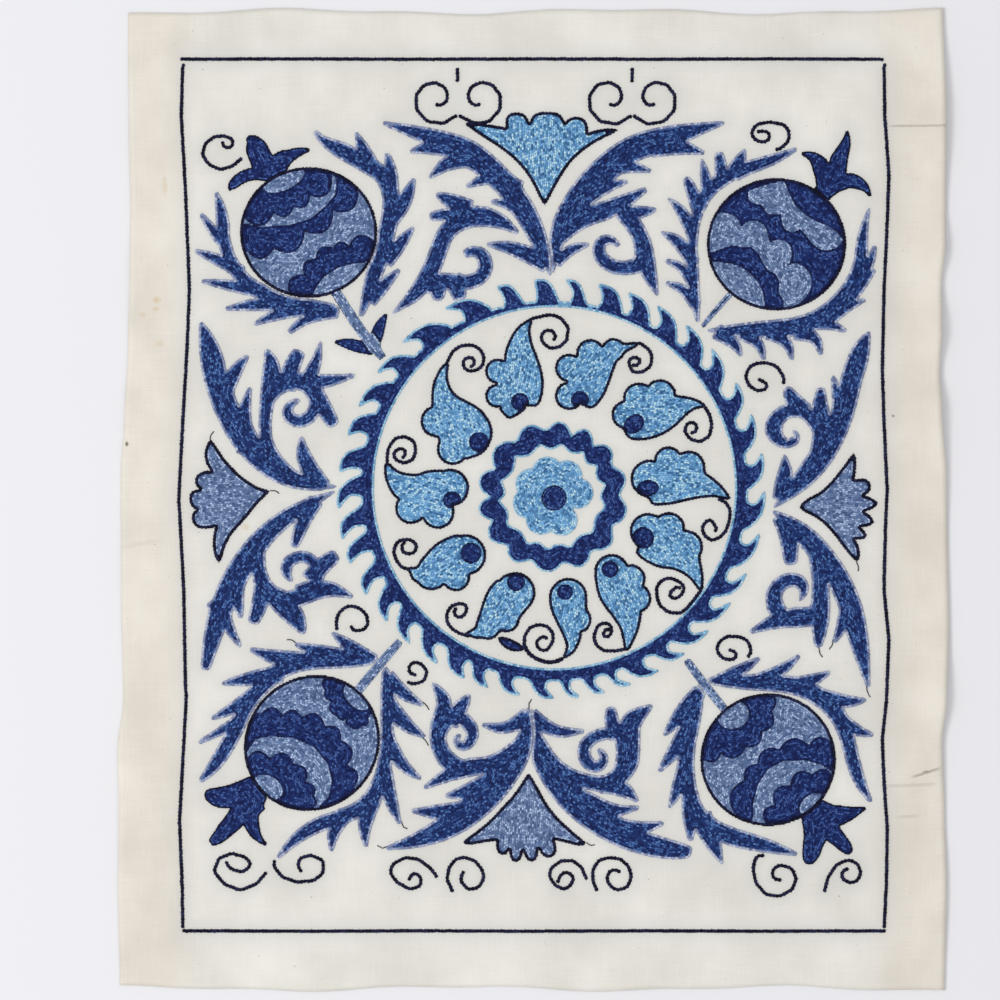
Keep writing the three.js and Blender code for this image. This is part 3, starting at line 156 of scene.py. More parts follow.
def silkMaterial(name, look):
    shader = Shader(name + "Silk", {"Specular IOR Level": look["gloss"]})
    tone = shader.node("Attribute", {"attribute_name": "tone"}, {}, 2)
    crest = shader.node("Attribute", {"attribute_name": "crest"}, {}, 2)
    place = shader.millimetres()
    strands = shader.noise(place, silkFinish["strandScale"], 3.0, 0.6)
    patches = shader.noise(place, silkFinish["patchScale"], 2.0)
    mixed = tone * silkFinish["toneShare"] + strands * silkFinish["strandShare"]
    mixed = mixed + patches * silkFinish["patchShare"] - silkFinish["darker"]
    ramp = shader.node("ValToRGB", {"stops": [
        (0.12, rgb(*look["dark"])), (0.5, rgb(*look["middle"])), (0.92, rgb(*look["light"])),
    ]}, {0: mixed})
    # Painted shade: the dark dye made darker still, mixed in at each link's edges and where it comes up;
    # the strands stay lighter.
    groove = rgb(*[c * silkFinish["groove"] for c in look["dark"]])
    shade = shader.mix(shader.between(crest, -0.25, 0.7), groove, ramp)
    roughness = silkFinish["roughness"] + strands * silkFinish["roughnessSpread"]
    return shader.finish(shade, roughness, strands * 0.6 + crest * 0.2)


def addObject(name, data):
    made = bpy.data.objects.new(name, data)
    bpy.context.scene.collection.objects.link(made)
    return made


# Measuring the motifs: loops, depths and the rows that follow them, all in millimetres

smallestHole = 7  # square millimetres
sharpCorner = 70  # a corner that turns more than this, in degrees, isn't rounded
gridStep = 0.5
outlineStep = 0.3  # between the points that depths are measured from
atOnce = 4096  # cells measured together


def topLoops(node):
    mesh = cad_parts[node].data
    mesh.calc_loop_triangles()
    points = np.zeros(len(mesh.vertices) * 3)
    mesh.vertices.foreach_get("co", points)
    points = np.round(points.reshape(-1, 3) * 1000, 3)
    keys = [tuple(p[:2]) for p in points]
    topHeight = points[:, 2].max() - 0.1
    edges = set()
    for triangle in mesh.loop_triangles:
        corners = list(triangle.vertices)
        if all(points[v][2] > topHeight for v in corners):
            edges.update((keys[corners[i]], keys[corners[(i + 1) % 3]]) for i in range(3))
    follow = {a: b for a, b in sorted(edges) if (b, a) not in edges}
    loops = []
    while follow:
        here = next(iter(follow))
        loop = []
        while here in follow:
            loop.append(here)
            here = follow.pop(here)
        loops.append(np.array(loop))
    return [loop for loop in loops if abs(areaOf(loop)) > smallestHole]


def areaOf(loop):
    after = np.roll(loop, -1, 0)
    return (loop[:, 0] * after[:, 1] - after[:, 0] * loop[:, 1]).sum() / 2


def turns(loop):
    into = loop - np.roll(loop, 1, 0)
    out = np.roll(loop, -1, 0) - loop
    cross = into[:, 0] * out[:, 1] - into[:, 1] * out[:, 0]
    return np.degrees(np.arctan2(cross, (into * out).sum(1)))


def rounded(loop, tip=sharpCorner):
    for unused in range(2):
        turn = turns(loop)
        keep = (turn > tip) | (turn < -sharpCorner)
        after, before = np.roll(loop, -1, 0), np.roll(loop, 1, 0)
        pairs = np.stack([loop * 0.75 + before * 0.25, loop * 0.75 + after * 0.25], 1)
        loop = np.concatenate([[p] if k else pair for p, k, pair in zip(loop, keep, pairs)])
    return loop


def lengthsAlong(line):
    return np.concatenate([[0], np.cumsum(np.hypot(*np.diff(line, axis=0).T))])


def pointsAlong(line, along, at):
    return np.stack([np.interp(at, along, line[:, 0]), np.interp(at, along, line[:, 1])], 1)


def evenly(line, step, closed=True):
    if closed:
        line = np.vstack([line, line[:1]])
    along = lengthsAlong(line)
    count = max(3, int(round(along[-1] / step)))
    at = np.linspace(0, along[-1], count + 1)
    if closed:
        at = at[:-1]
    return pointsAlong(line, along, at)


def insideOf(loops, xs, ys):
    flips = np.zeros((len(ys), len(xs) + 1), int)
    for loop in loops:
        a = evenly(loop, gridStep * 0.4)
        b = np.roll(a, -1, 0)
        rowA, rowB = [np.floor((p[:, 1] - ys[0]) / gridStep).astype(int) for p in (a, b)]
        row = np.maximum(rowA, rowB)
        hit = (rowA != rowB) & (row >= 0) & (row < len(ys))
        a, b, row = a[hit], b[hit], row[hit]
        share = (ys[0] + row * gridStep - a[:, 1]) / (b[:, 1] - a[:, 1])
        x = a[:, 0] + share * (b[:, 0] - a[:, 0])
        column = np.clip(np.ceil((x - xs[0]) / gridStep), 0, len(xs)).astype(int)
        np.add.at(flips, (row, column), 1)
    return np.cumsum(flips, axis=1)[:, :-1] % 2 == 1


def nearest(cells, marks):
    middle = marks.mean(0)
    cells = (cells - middle).astype(np.float32)
    marks = (marks - middle).astype(np.float32)
    squares = (marks ** 2).sum(1)
    found = np.empty(len(cells), np.float32)
    for start in range(0, len(cells), atOnce):
        part = cells[start:start + atOnce]
        found[start:start + atOnce] = (squares - 2 * part @ marks.T).min(1) + (part ** 2).sum(1)
    return np.sqrt(np.maximum(found, 0))


def depthOf(loops):
    everything = np.vstack(loops)
    low, high = everything.min(0) - 2, everything.max(0) + 2
    xs, ys = np.arange(low[0], high[0], gridStep), np.arange(low[1], high[1], gridStep)
    inside = insideOf(loops, xs, ys)
    depth = np.full(inside.shape, -1.0)
    rows, columns = np.nonzero(inside)
    cells = np.stack([xs[columns], ys[rows]], 1)
    depth[inside] = nearest(cells, np.vstack([evenly(loop, outlineStep) for loop in loops]))
    return {"xs": xs, "ys": ys, "inside": inside, "cells": cells, "depth": depth}


def signedDepth(ground, loops):
    found = np.full(ground["inside"].shape, -1.0)
    distance = nearest(ground["cells"], np.vstack([evenly(loop, outlineStep) for loop in loops]))
    within = insideOf(loops, ground["xs"], ground["ys"])[ground["inside"]]
    found[ground["inside"]] = np.where(within, distance, -distance)
    return found


def contours(ground, depth, level):
    v = depth - level
    rows, columns = v.shape
    deep = v > 0
    index = np.arange(rows * columns).reshape(rows, columns)
    flat = deep[:, :-1] != deep[:, 1:]
    upright = deep[:-1] != deep[1:]
    crossing = np.stack([flat[:-1], upright[:, 1:], flat[1:], upright[:, :-1]])
    names = np.stack([
        index[:-1, :-1], index[:-1, 1:] + index.size, index[1:, :-1], index[:-1, :-1] + index.size,
    ])
    count = crossing.sum(0)
    two = count == 2
    picked, sides = names[:, two], crossing[:, two]
    first = sides.argmax(0)
    last = 3 - sides[::-1].argmax(0)
    number = np.arange(picked.shape[1])
    four = names[:, count == 4]
    pairs = [np.stack([picked[first, number], picked[last, number]], 1), four[[0, 1]].T, four[[2, 3]].T]
    links = {}
    for a, b in np.vstack(pairs).tolist():
        links.setdefault(a, []).append(b)
        links.setdefault(b, []).append(a)
    found = []
    while links:
        point = next(iter(links))
        trail = []
        while point is not None:
            trail.append(point)
            point = next((n for n in links.pop(point) if n in links), None)
        trail = np.array(trail)
        upwards = trail >= index.size
        cell = trail % index.size
        row, column = cell // columns, cell % columns
        here = v[row, column]
        up = v[np.minimum(row + 1, rows - 1), column]
        beyond = v[row, np.minimum(column + 1, columns - 1)]
        there = np.where(upwards, up, beyond)
        share = here / (here - there)
        x = ground["xs"][0] + gridStep * (column + np.where(upwards, 0, share))
        y = ground["ys"][0] + gridStep * (row + np.where(upwards, share, 0))
        found.append(np.stack([x, y], 1))
    return found


# Chain stitch: each link is narrow where it comes up, then two plump strands with a groove between

chain = {
    "edgeWidth": 2.3, "edgeLink": 2.1, "lineWidth": 2.6,
    "fillWidth": 1.42, "fillPitch": 1.2, "fillLink": 1.8, "outlineSpread": 0.35,
    "clothTop": 1.2, "rise": 0.92, "bedRise": 0.3, "wander": 0.09,
    "across": (-1, -0.52, 0, 0.52, 1),
    "narrow": (0, 0.7, 0.95, 0.7, 0), "wide": (0, 1, 0.5, 1, 0),
    # The next two rows give the painted shade across each link: dark at its edges and where it comes up,
    # light on the two strands.
    "narrowShadeAndBump": (0, 0.25, 0.3, 0.25, 0), "wideShadeAndBump": (0.1, 1, 0.62, 1, 0.1),
    "shares": (0, 0.58), "widths": (0.66, 1), "endWidth": 0.5, "lift": 0.03,
    "slip": 0.07, "widthSpread": (0.92, 1.08), "heightSpread": (0.9, 1.05),
    "steady": ("lilac", "paleSky", "navy", "deepBlue"), "steadyTone": (0.22, 0.8), "toneBeta": (1.35, 1.45),
}


def newWork():
    return {"points": [], "faces": [], "tone": [], "crest": [], "silk": [], "bed": [], "count": 0}


def addFaces(work, points, faces, tone, crest, silk, bed):
    work["points"].append(points)
    work["faces"].append(faces + work["count"])
    work["tone"].append(tone)
    work["crest"].append(crest)
    work["silk"] += [silk] * len(faces)
    work["bed"].append(np.full(len(faces), bed))
    work["count"] += len(points)


def chainRow(work, line, closed, silk, width, link, widths=None):
    if closed:
        line = np.vstack([line, line[:1]])
    along = lengthsAlong(line)
    total = along[-1]
    if total < 1.3 * link:
        return
    links = max(2, int(round(total / link)))
    slip = rng.uniform(-chain["slip"], chain["slip"], (links, 1))
    at = (np.arange(links)[:, None] + chain["shares"] + slip).ravel() / links
    wide = np.tile(chain["widths"], links) * np.repeat(rng.uniform(*chain["widthSpread"], links), 2)
    shape = np.tile([chain["narrow"], chain["wide"]], (links, 1))
    shadeAndBump = np.tile([chain["narrowShadeAndBump"], chain["wideShadeAndBump"]], (links, 1))
    if not closed:
        at, wide = np.append(at, 1), np.append(wide, chain["endWidth"])
        shape, shadeAndBump = np.vstack([shape, chain["narrow"]]), np.vstack([shadeAndBump, chain["narrowShadeAndBump"]])
    at = np.clip(at, 0, 1) * total if not closed else (at % 1) * total
    centre = pointsAlong(line, along, at)
    ahead = np.roll(centre, -1, 0) - np.roll(centre, 1, 0) if closed else np.gradient(centre, axis=0)
    ahead /= np.maximum(np.hypot(*ahead.T), 1e-6)[:, None]
    side = np.stack([-ahead[:, 1], ahead[:, 0]], 1)
    centre = centre + side * rng.normal(0, chain["wander"], (len(centre), 1))
    half = wide * (width if widths is None else np.interp(at, along, widths)) / 2
    offset = half[:, None] * chain["across"]
    flat = centre[:, None] + side[:, None] * offset[..., None]
    plump = chain["rise"] * np.clip(half / 0.7, 0.45, 1)
    uneven = rng.uniform(*chain["heightSpread"], (len(half), 1))
    height = chain["clothTop"] + chain["lift"] + shape * plump[:, None] * uneven
    points = np.concatenate([flat, height[..., None]], 2).reshape(-1, 3)
    stations = np.arange(len(centre) if closed else len(centre) - 1)
    after = (stations + 1) % len(centre)
    here, there = [row[:, None] * len(chain["across"]) + np.arange(4) for row in (stations, after)]
    faces = np.stack([here, there, there + 1, here + 1], 2).reshape(-1, 4)
    if silk in chain["steady"]:
        tone = rng.uniform(*chain["steadyTone"], links + 1)
    else:
        tone = rng.beta(*chain["toneBeta"], links + 1)
    tone = np.repeat(tone[stations // 2], 4)
    # Each link's painted shade is stored with its points.
    addFaces(work, points, faces, tone, shadeAndBump.ravel(), silk, False)


# The worked cloth under the stitches: one long face for each run of the grid.
def addBed(work, ground, depth, level, silk, lift=0.0):
    covered = (depth > level)[::2]
    ends = np.diff(np.pad(covered, ((0, 0), (1, 1))).astype(int), axis=1)
    rows, first = np.nonzero(ends == 1)
    last = np.nonzero(ends == -1)[1]
    if len(rows) == 0:
        return
    x0 = ground["xs"][0] + (first - 0.5) * gridStep
    x1 = ground["xs"][0] + (last - 0.5) * gridStep
    y0 = ground["ys"][0] + (rows * 2 - 1) * gridStep
    y1 = y0 + 2 * gridStep
    height = np.full(len(rows), chain["clothTop"] + chain["bedRise"] + lift)
    corners = ((x0, y0), (x1, y0), (x1, y1), (x0, y1))
    points = np.stack([np.stack([x, y, height], 1) for x, y in corners], 1).reshape(-1, 3)
    faces = np.arange(len(points)).reshape(-1, 4)
    # The bed gets one low value of painted shade, so its silk is painted darker, as shade beneath the rows.
    addFaces(work, points, faces, np.full(len(faces), 0.35), np.full(len(points), 0.3), silk, True)


# Straight rows side by side, gently bent, wherever the shape is deeper than a level.
def parallelRows(work, ground, depth, level, angle, silk):
    if not (depth > level).any():
        return
    lean = math.radians(angle)
    along = np.array((math.cos(lean), math.sin(lean)))
    over = np.array((-along[1], along[0]))
    rows, columns = np.nonzero(depth > level)
    cells = np.stack([ground["xs"][columns], ground["ys"][rows]], 1)
    low, high = (cells @ over).min(), (cells @ over).max()
    start, end = (cells @ along).min() - 1, (cells @ along).max() + 1
    run = np.arange(start, end, 0.4)
    phase, bow = rng.uniform(0, 6), rng.uniform(0.8, 1.6)
    offset = low + 0.3
    while offset < high:
        shift = bow * np.sin(run / 13 + phase)
        line = run[:, None] * along + (offset + shift)[:, None] * over
        cell = np.round((line - (ground["xs"][0], ground["ys"][0])) / gridStep).astype(int)
        column, row = [np.clip(cell[:, k], 0, depth.shape[1 - k] - 1) for k in (0, 1)]
        deep = np.concatenate([[False], depth[row, column] > level, [False]])
        changes = np.nonzero(deep[1:] != deep[:-1])[0]
        for first, last in zip(changes[::2], changes[1::2]):
            if last - first > 5:
                chainRow(work, line[first:last], False, silk, chain["fillWidth"], chain["fillLink"])
        offset += chain["fillPitch"] * 0.97


# A closed row all along one depth.
def rowsAt(work, ground, depth, level, silk, width, link):
    for loop in contours(ground, depth, level):
        chainRow(work, loop, True, silk, width, link)


# Rows follow the edge inwards. With a grain, straight rows fill what is inside the first few.
filling = {"inset": 0.05, "edgeOverlap": 0.3, "roundsWithGrain": 2, "bedInset": 0.5, "bedLift": 0.06}


def fillArea(work, ground, depth, fill, edge=None, edgeWidth=None, grain=None):
    edgeWidth = edgeWidth or chain["edgeWidth"]
    start = filling["inset"]
    if edge:
        rowsAt(work, ground, depth, edgeWidth / 2, edge, edgeWidth, chain["edgeLink"])
        start = edgeWidth - filling["edgeOverlap"]
    level = start + chain["fillPitch"] / 2
    rounds = math.inf if grain is None else filling["roundsWithGrain"]
    while level < depth.max() and rounds > 0:
        rowsAt(work, ground, depth, level, fill, chain["fillWidth"], chain["fillLink"])
        level += chain["fillPitch"]
        rounds -= 1
    if grain is not None:
        parallelRows(work, ground, depth, level - chain["fillPitch"] * 0.4, grain, fill)
    addBed(work, ground, depth, start + filling["bedInset"] if edge else 0, fill, filling["bedLift"])


# Works one part of a motif, and gives the depths of what is left.
def workPart(work, ground, left, outline, silk, edge=None, edgeWidth=None):
    own = signedDepth(ground, [outline])
    fillArea(work, ground, np.minimum(left, own), silk, edge, edgeWidth)
    return np.minimum(left, -own)


# A row that runs in from a narrow end of a loop: corners first and last, then along both sides together.
walk = {"step": 0.3, "window": 16, "meeting": 6}


def walkIn(loop, first, last, stopWidth):
    ahead = evenly(np.roll(loop, -last, 0), walk["step"])
    back = evenly(np.roll(loop, -first - 1, 0)[::-1], walk["step"])
    centre, widths, j = [], [], 0
    whole = len(ahead)
    met = False
    for i, point in enumerate(ahead):
        window = back[j:j + walk["window"]]
        if len(window) == 0:
            break
        apart = np.hypot(*(window - point).T)
        j += int(apart.argmin())
        if apart.min() > stopWidth:
            break
        if i + j > whole - walk["meeting"]:
            met = True
            break
        centre.append((point + back[j]) / 2)
        widths.append(apart.min())
    return np.array(centre), np.array(widths), met


# Rounds a line's corners and doesn't draw its bends in.
def smoothLine(line, times=60):
    line = evenly(line, 0.7, False)
    for share in (0.5, -0.52) * times:
        line[1:-1] += share * ((line[:-2] + line[2:]) / 2 - line[1:-1])
    return line


# A curl's free end turns in once more, ever tighter.
hook = {"from": 2.4, "to": 1.5, "steps": 7, "step": 0.5}


def hooked(line):
    ahead = line[0] - line[2]
    heading = math.atan2(ahead[1], ahead[0])
    before = line[2] - line[6]
    turn = (heading - math.atan2(before[1], before[0]) + math.pi) % (2 * math.pi) - math.pi
    sign = 1 if turn > 0 else -1
    added, here = [], line[0].copy()
    for share in np.linspace(0, 1, hook["steps"]):
        radius = hook["from"] + (hook["to"] - hook["from"]) * share
        heading += sign * hook["step"] / radius
        here = here + hook["step"] * np.array((math.cos(heading), math.sin(heading)))
        added.append(here)
    return np.vstack([added[::-1], line])


# Ends are one sharp corner, or a short side between two corners. A row stops where the shape is wider.
lineEnds = {"shortest": 1.7, "longest": 2.9, "turning": 130, "stopWidth": 3.6, "fewest": 12, "clear": 1.6}
bladeTips = {
    "shortest": 0.2, "longest": 2.3, "turning": 105, "stopWidth": 2.7, "fewest": 4, "thinnest": 0.95,
}


def narrowEnds(loop, ends):
    turn = turns(loop)
    length = np.hypot(*(np.roll(loop, -1, 0) - loop).T)
    found = []
    for i in range(len(loop)):
        after = (i + 1) % len(loop)
        if turn[i] > ends["turning"]:
            found.append((i, i))
        elif ends["shortest"] < length[i] < ends["longest"] and min(turn[i], turn[after]) > 20:
            if turn[i] + turn[after] > ends["turning"]:
                found.append((i, after))
    return found


# Every motif's silks, and the shapes worked inside it

navyLine = {"line": "navy", "slot": "navy_thread"}
leafBlue = {"fill": "blue", "edge": "lilac", "edgeWidth": 1.8, "slot": "blue_thread"}
looks = {
    "ring": {"fill": "indigo", "edge": "paleSky", "edgeWidth": 1.6, "slot": "blue_thread"},
    "rosette_ring": {"fill": "indigo", "edge": "paleSky", "edgeWidth": 1.4, "slot": "blue_thread"},
    "rosette_flower": {"fill": "sky", "edge": "paleSky", "edgeWidth": 1.5, "slot": "sky_thread"},
    "border": navyLine, "curl": navyLine, "horns": navyLine,
    "pomegranate": {"fill": "blue", "edge": "navy", "slot": "blue_thread"},
    "frond": leafBlue, "leaf": leafBlue, "scroll": leafBlue,
    "tulip_top": {"fill": "sky", "edge": "navy", "slot": "sky_thread"},
    "tulip": {"fill": "slate", "edge": "navy", "slot": "slate_thread"},
    "boteh": {
        "fill": "sky", "edge": "navy", "line": "navy", "hooks": True, "tip": 112, "slot": "sky_thread",
    },
}

# A dark eye in each boteh, and the way that its rows run, in degrees.
eyes = {
    "boteh_1": {"at": (520, 402), "wide": 9, "high": 9, "grain": 80},
    "boteh_2": {"at": (580, 400), "wide": 9, "high": 9, "grain": 48},
    "boteh_3": {"at": (634, 424), "wide": 11, "high": 9, "tilt": 38, "grain": 5},
    "boteh_4": {"at": (648, 488), "wide": 11, "high": 8, "grain": -5},
    "boteh_5": {"at": (643, 538), "wide": 11, "high": 11, "grain": -40},
    "boteh_6": {"at": (610, 569), "wide": 8.5, "high": 8.5, "grain": -70},
    "boteh_7": {
        "at": (565, 592), "wide": 8, "high": 8, "grain": -95,
        "leaf": {"at": (510, 644), "wide": 18, "high": 9},
    },
    "boteh_8": {"at": (516, 582), "wide": 9, "high": 9, "grain": -125},
    "boteh_9": {"at": (471, 553), "wide": 10.5, "high": 10.5, "grain": -150},
    "boteh_10": {"at": (452, 500), "wide": 9, "high": 9, "grain": 172},
    "boteh_11": {"at": (479, 442), "wide": 10, "high": 10, "grain": 125},
    "rosette_flower": {"at": (554, 498), "wide": 13, "high": 13},
}
grains = {"tulip_top": 90, "tulip_bottom": 90, "tulip_left": 0, "tulip_right": 0}


def oval(at, wide, high, tilt=0, sides=40):
    (cx, cy), = plan(at)
    angle = np.arange(sides) * 2 * np.pi / sides
    x, y = wide * planStep * np.cos(angle), high * planStep * np.sin(angle)
    lean = math.radians(tilt)
    cos, sin = math.cos(lean), math.sin(lean)
    return np.stack([cx + x * cos - y * sin, cy + x * sin + y * cos], 1)


# A fruit is worked in layers from its crown: what is nearer the crown than each line, then the rest.
# A line's bumps bulge away from the crown, or towards it where the last number is below 0.
fruits = {
    "pomegranate_top_left": {
        "oval": {"at": (308.7, 232.5), "wide": 68.8, "high": 65.5},
        "crown": (-0.7, -0.7), "rest": "slate",
        "patches": [{"at": (284, 180), "wide": 22, "high": 10, "tilt": 25}],
        "layers": [
            ("indigo", [(245, 219), (274, 213), (294, 207), (310, 196), (332, 178), (326, 170)], 0.35),
            ("slate", [(247, 224), (262, 227), (290, 225), (310, 219), (325, 207), (335, 195),
                       (337, 180), (330, 171)], 0),
            ("indigo", [(247, 251), (274, 249), (305, 232), (333, 211), (358, 190)], 0.35),
            ("slate", [(290, 295), (304, 274), (316, 259), (333, 248), (349, 246), (374, 241)], -0.35),
            ("indigo", [(312, 297), (316, 288), (324, 277), (338, 268), (352, 264), (368, 262)], 0),
        ],
        "stem": (345, 285),
        "stemBand": [(325, 283), (352, 328), (378, 363), (391, 357), (365, 321), (339, 280)],
        "stemLeaves": [
            [(371, 350), (366, 335), (372, 322), (388, 308), (392, 325), (386, 343), (379, 352)],
            [(373, 351), (366, 339), (350, 334), (330, 338), (336, 352), (356, 358), (371, 357)],
        ],
    },
    "pomegranate_top_right": {
        "oval": {"at": (776.5, 244.5), "wide": 70, "high": 66.5},
        "crown": (0.7, -0.7), "rest": "indigo",
        "patches": [
            [(748, 191), (765, 185), (784, 181), (790, 196), (797, 209), (814, 221), (833, 228),
             (843, 240), (836, 249), (822, 251), (812, 244), (805, 234), (800, 229), (795, 232),
             (788, 232), (782, 226), (781, 214), (775, 215), (766, 214), (763, 205), (754, 204),
             (748, 200)],
            [(704, 220), (711, 217), (718, 213.5), (728, 213), (737, 217.5), (741, 227),
             (747, 221.5), (757, 220.5), (765.5, 226), (768, 236), (769.5, 243), (777, 239),
             (787, 241.5), (792, 250), (791, 260), (788.5, 265), (797, 263), (807, 269),
             (812, 280), (810, 292), (800, 303), (787, 314), (783, 312), (784, 300), (778, 293),
             (780, 283), (775, 273), (768, 271), (763, 263), (758, 253), (750, 246), (743, 248.5),
             (735, 245), (723, 248), (715, 251.5), (704, 255)],
            [(711, 262), (728, 263), (742, 267), (755, 278), (763, 291), (765, 307), (750, 310),
             (730, 300), (716, 284), (708, 270)],
        ],
        "layers": [], "stem": (712, 300),
    },
    "pomegranate_bottom_left": {
        "oval": {"at": (312, 743), "wide": 70.5, "high": 66, "tilt": 45},
        "crown": (-0.7, 0.7), "rest": "indigo",
        "patches": [
            {"at": (268, 787), "wide": 16, "high": 11, "tilt": -30},
            {"at": (357, 697), "wide": 16, "high": 9.5, "tilt": -45},
        ],
        "layers": [
            ("indigo", [(246, 760), (270, 758), (294, 764), (306, 782), (314, 796), (312, 808)], 0.35),
            ("slate", [(247, 752), (256, 739), (271, 736), (294, 738), (314, 747), (328, 764),
                       (332, 781), (329, 796), (319, 806)], 0),
            ("indigo", [(254, 717), (261, 714), (283, 715), (302, 717), (325, 726), (341, 740),
                        (347, 765), (354, 787)], 0.35),
            ("slate", [(327, 676), (325, 690), (331, 701), (337, 716), (346, 719), (351, 727),
                       (362, 726), (369, 722), (378, 712)], -0.3),
        ],
        "stem": (372, 680),
    },
    "pomegranate_bottom_right": {
        "oval": {"at": (768, 759.5), "wide": 68, "high": 66.5},
        "crown": (0.7, 0.7), "rest": "indigo",
        "patches": [
            {"at": (812, 805), "wide": 14, "high": 10, "tilt": 40},
            {"at": (733, 715), "wide": 16, "high": 13.5, "tilt": 20},
        ],
        "layers": [
            ("indigo", [(765, 822), (774, 805), (790, 785), (812, 774), (834, 779)], 0.35),
            ("slate", [(753, 817), (753, 804), (758, 784), (768, 769), (783, 761), (805, 760),
                       (822, 765), (832, 772)], 0),
            ("indigo", [(736, 815), (744, 780), (757, 764), (779, 749), (809, 745), (830, 741)], 0.3),
            ("slate", [(704, 760), (721, 754), (746, 747), (762, 732), (772, 711), (768, 690)], -0.3),
        ],
        "stem": (708, 700),
    },
}


fruitEdges = {"rim": 2.2, "layer": 1.5, "stem": 1.7, "crown": 1.3}
outPast = 80  # millimetres from a fruit's middle to well outside it


# Small arcs from point to point, as high as a share of their own length.
def bumpy(fruit, places, rise):
    line = plan(*places)
    away = np.array((-fruit["crown"][0], fruit["crown"][1]))
    t = np.linspace(0, 1, 10)[:-1, None]
    found = []
    for a, b in zip(line[:-1], line[1:]):
        side = np.array((a[1] - b[1], b[0] - a[0]))
        side = side if side @ away > 0 else -side
        found.append(a + (b - a) * t + side * rise * np.sin(np.pi * t) ** 0.8)
    return np.vstack(found + [line[-1:]])


# Everything on the crown's side of a line, out past the rim.
def crownSide(fruit, line):
    (cx, cy), = plan(fruit["oval"]["at"])
    crown = math.atan2(-fruit["crown"][1], fruit["crown"][0])
    directions = [math.atan2(y - cy, x - cx) for x, y in (line[-1], line[0])]
    ends = [(direction - crown + math.pi) % (2 * math.pi) - math.pi for direction in directions]
    arc = crown + np.linspace(ends[0], ends[1], 24)
    return np.vstack([line, np.stack([cx + outPast * np.cos(arc), cy + outPast * np.sin(arc)], 1)])


def layerEdge(silk):
    return "deepBlue" if silk == "indigo" else None, fruitEdges["layer"]


def workFruit(work, ground, fruit):
    fruitDepth = signedDepth(ground, [oval(**fruit["oval"])])
    body = np.minimum(ground["depth"] + 0.3, fruitDepth)
    body[~ground["inside"]] = -1
    rowsAt(work, ground, body, 1.0, "navy", fruitEdges["rim"], chain["edgeLink"])
    left = np.where(body < 0, -1, body - 1.8)
    addBed(work, ground, left, 0, "deepBlue", 0.03)
    for patch in fruit["patches"]:
        outline = oval(**patch) if isinstance(patch, dict) else rounded(plan(*patch))
        left = workPart(work, ground, left, outline, "slate")
    for silk, places, rise in fruit["layers"]:
        line = bumpy(fruit, places, rise) if rise else smoothLine(plan(*places), 6)
        left = workPart(work, ground, left, crownSide(fruit, line), silk, *layerEdge(silk))
    fillArea(work, ground, left, fruit["rest"], *layerEdge(fruit["rest"]))
    outside = np.minimum(ground["depth"], -fruitDepth + 0.6)
    stemSilk = "slate"
    if "stemBand" in fruit:
        band = plan(*fruit["stemBand"])
        outside = workPart(work, ground, outside, band, stemSilk, stemSilk, fruitEdges["stem"])
    for leaf in fruit.get("stemLeaves", []):
        outside = workPart(work, ground, outside, plan(*leaf), "indigo", "deepBlue", fruitEdges["crown"])
    (cx, cy), (sx, sy) = plan(fruit["oval"]["at"], fruit["stem"])
    towards = np.array((sx - cx, sy - cy))
    xs, ys = np.meshgrid(ground["xs"], ground["ys"])
    stemSide = ((xs - cx) * towards[0] + (ys - cy) * towards[1]) > 0
    fillArea(work, ground, np.where(stemSide, -1, outside), "indigo", "navy", fruitEdges["crown"])
    fillArea(work, ground, np.where(stemSide, outside, -1), stemSilk, stemSilk, fruitEdges["stem"])


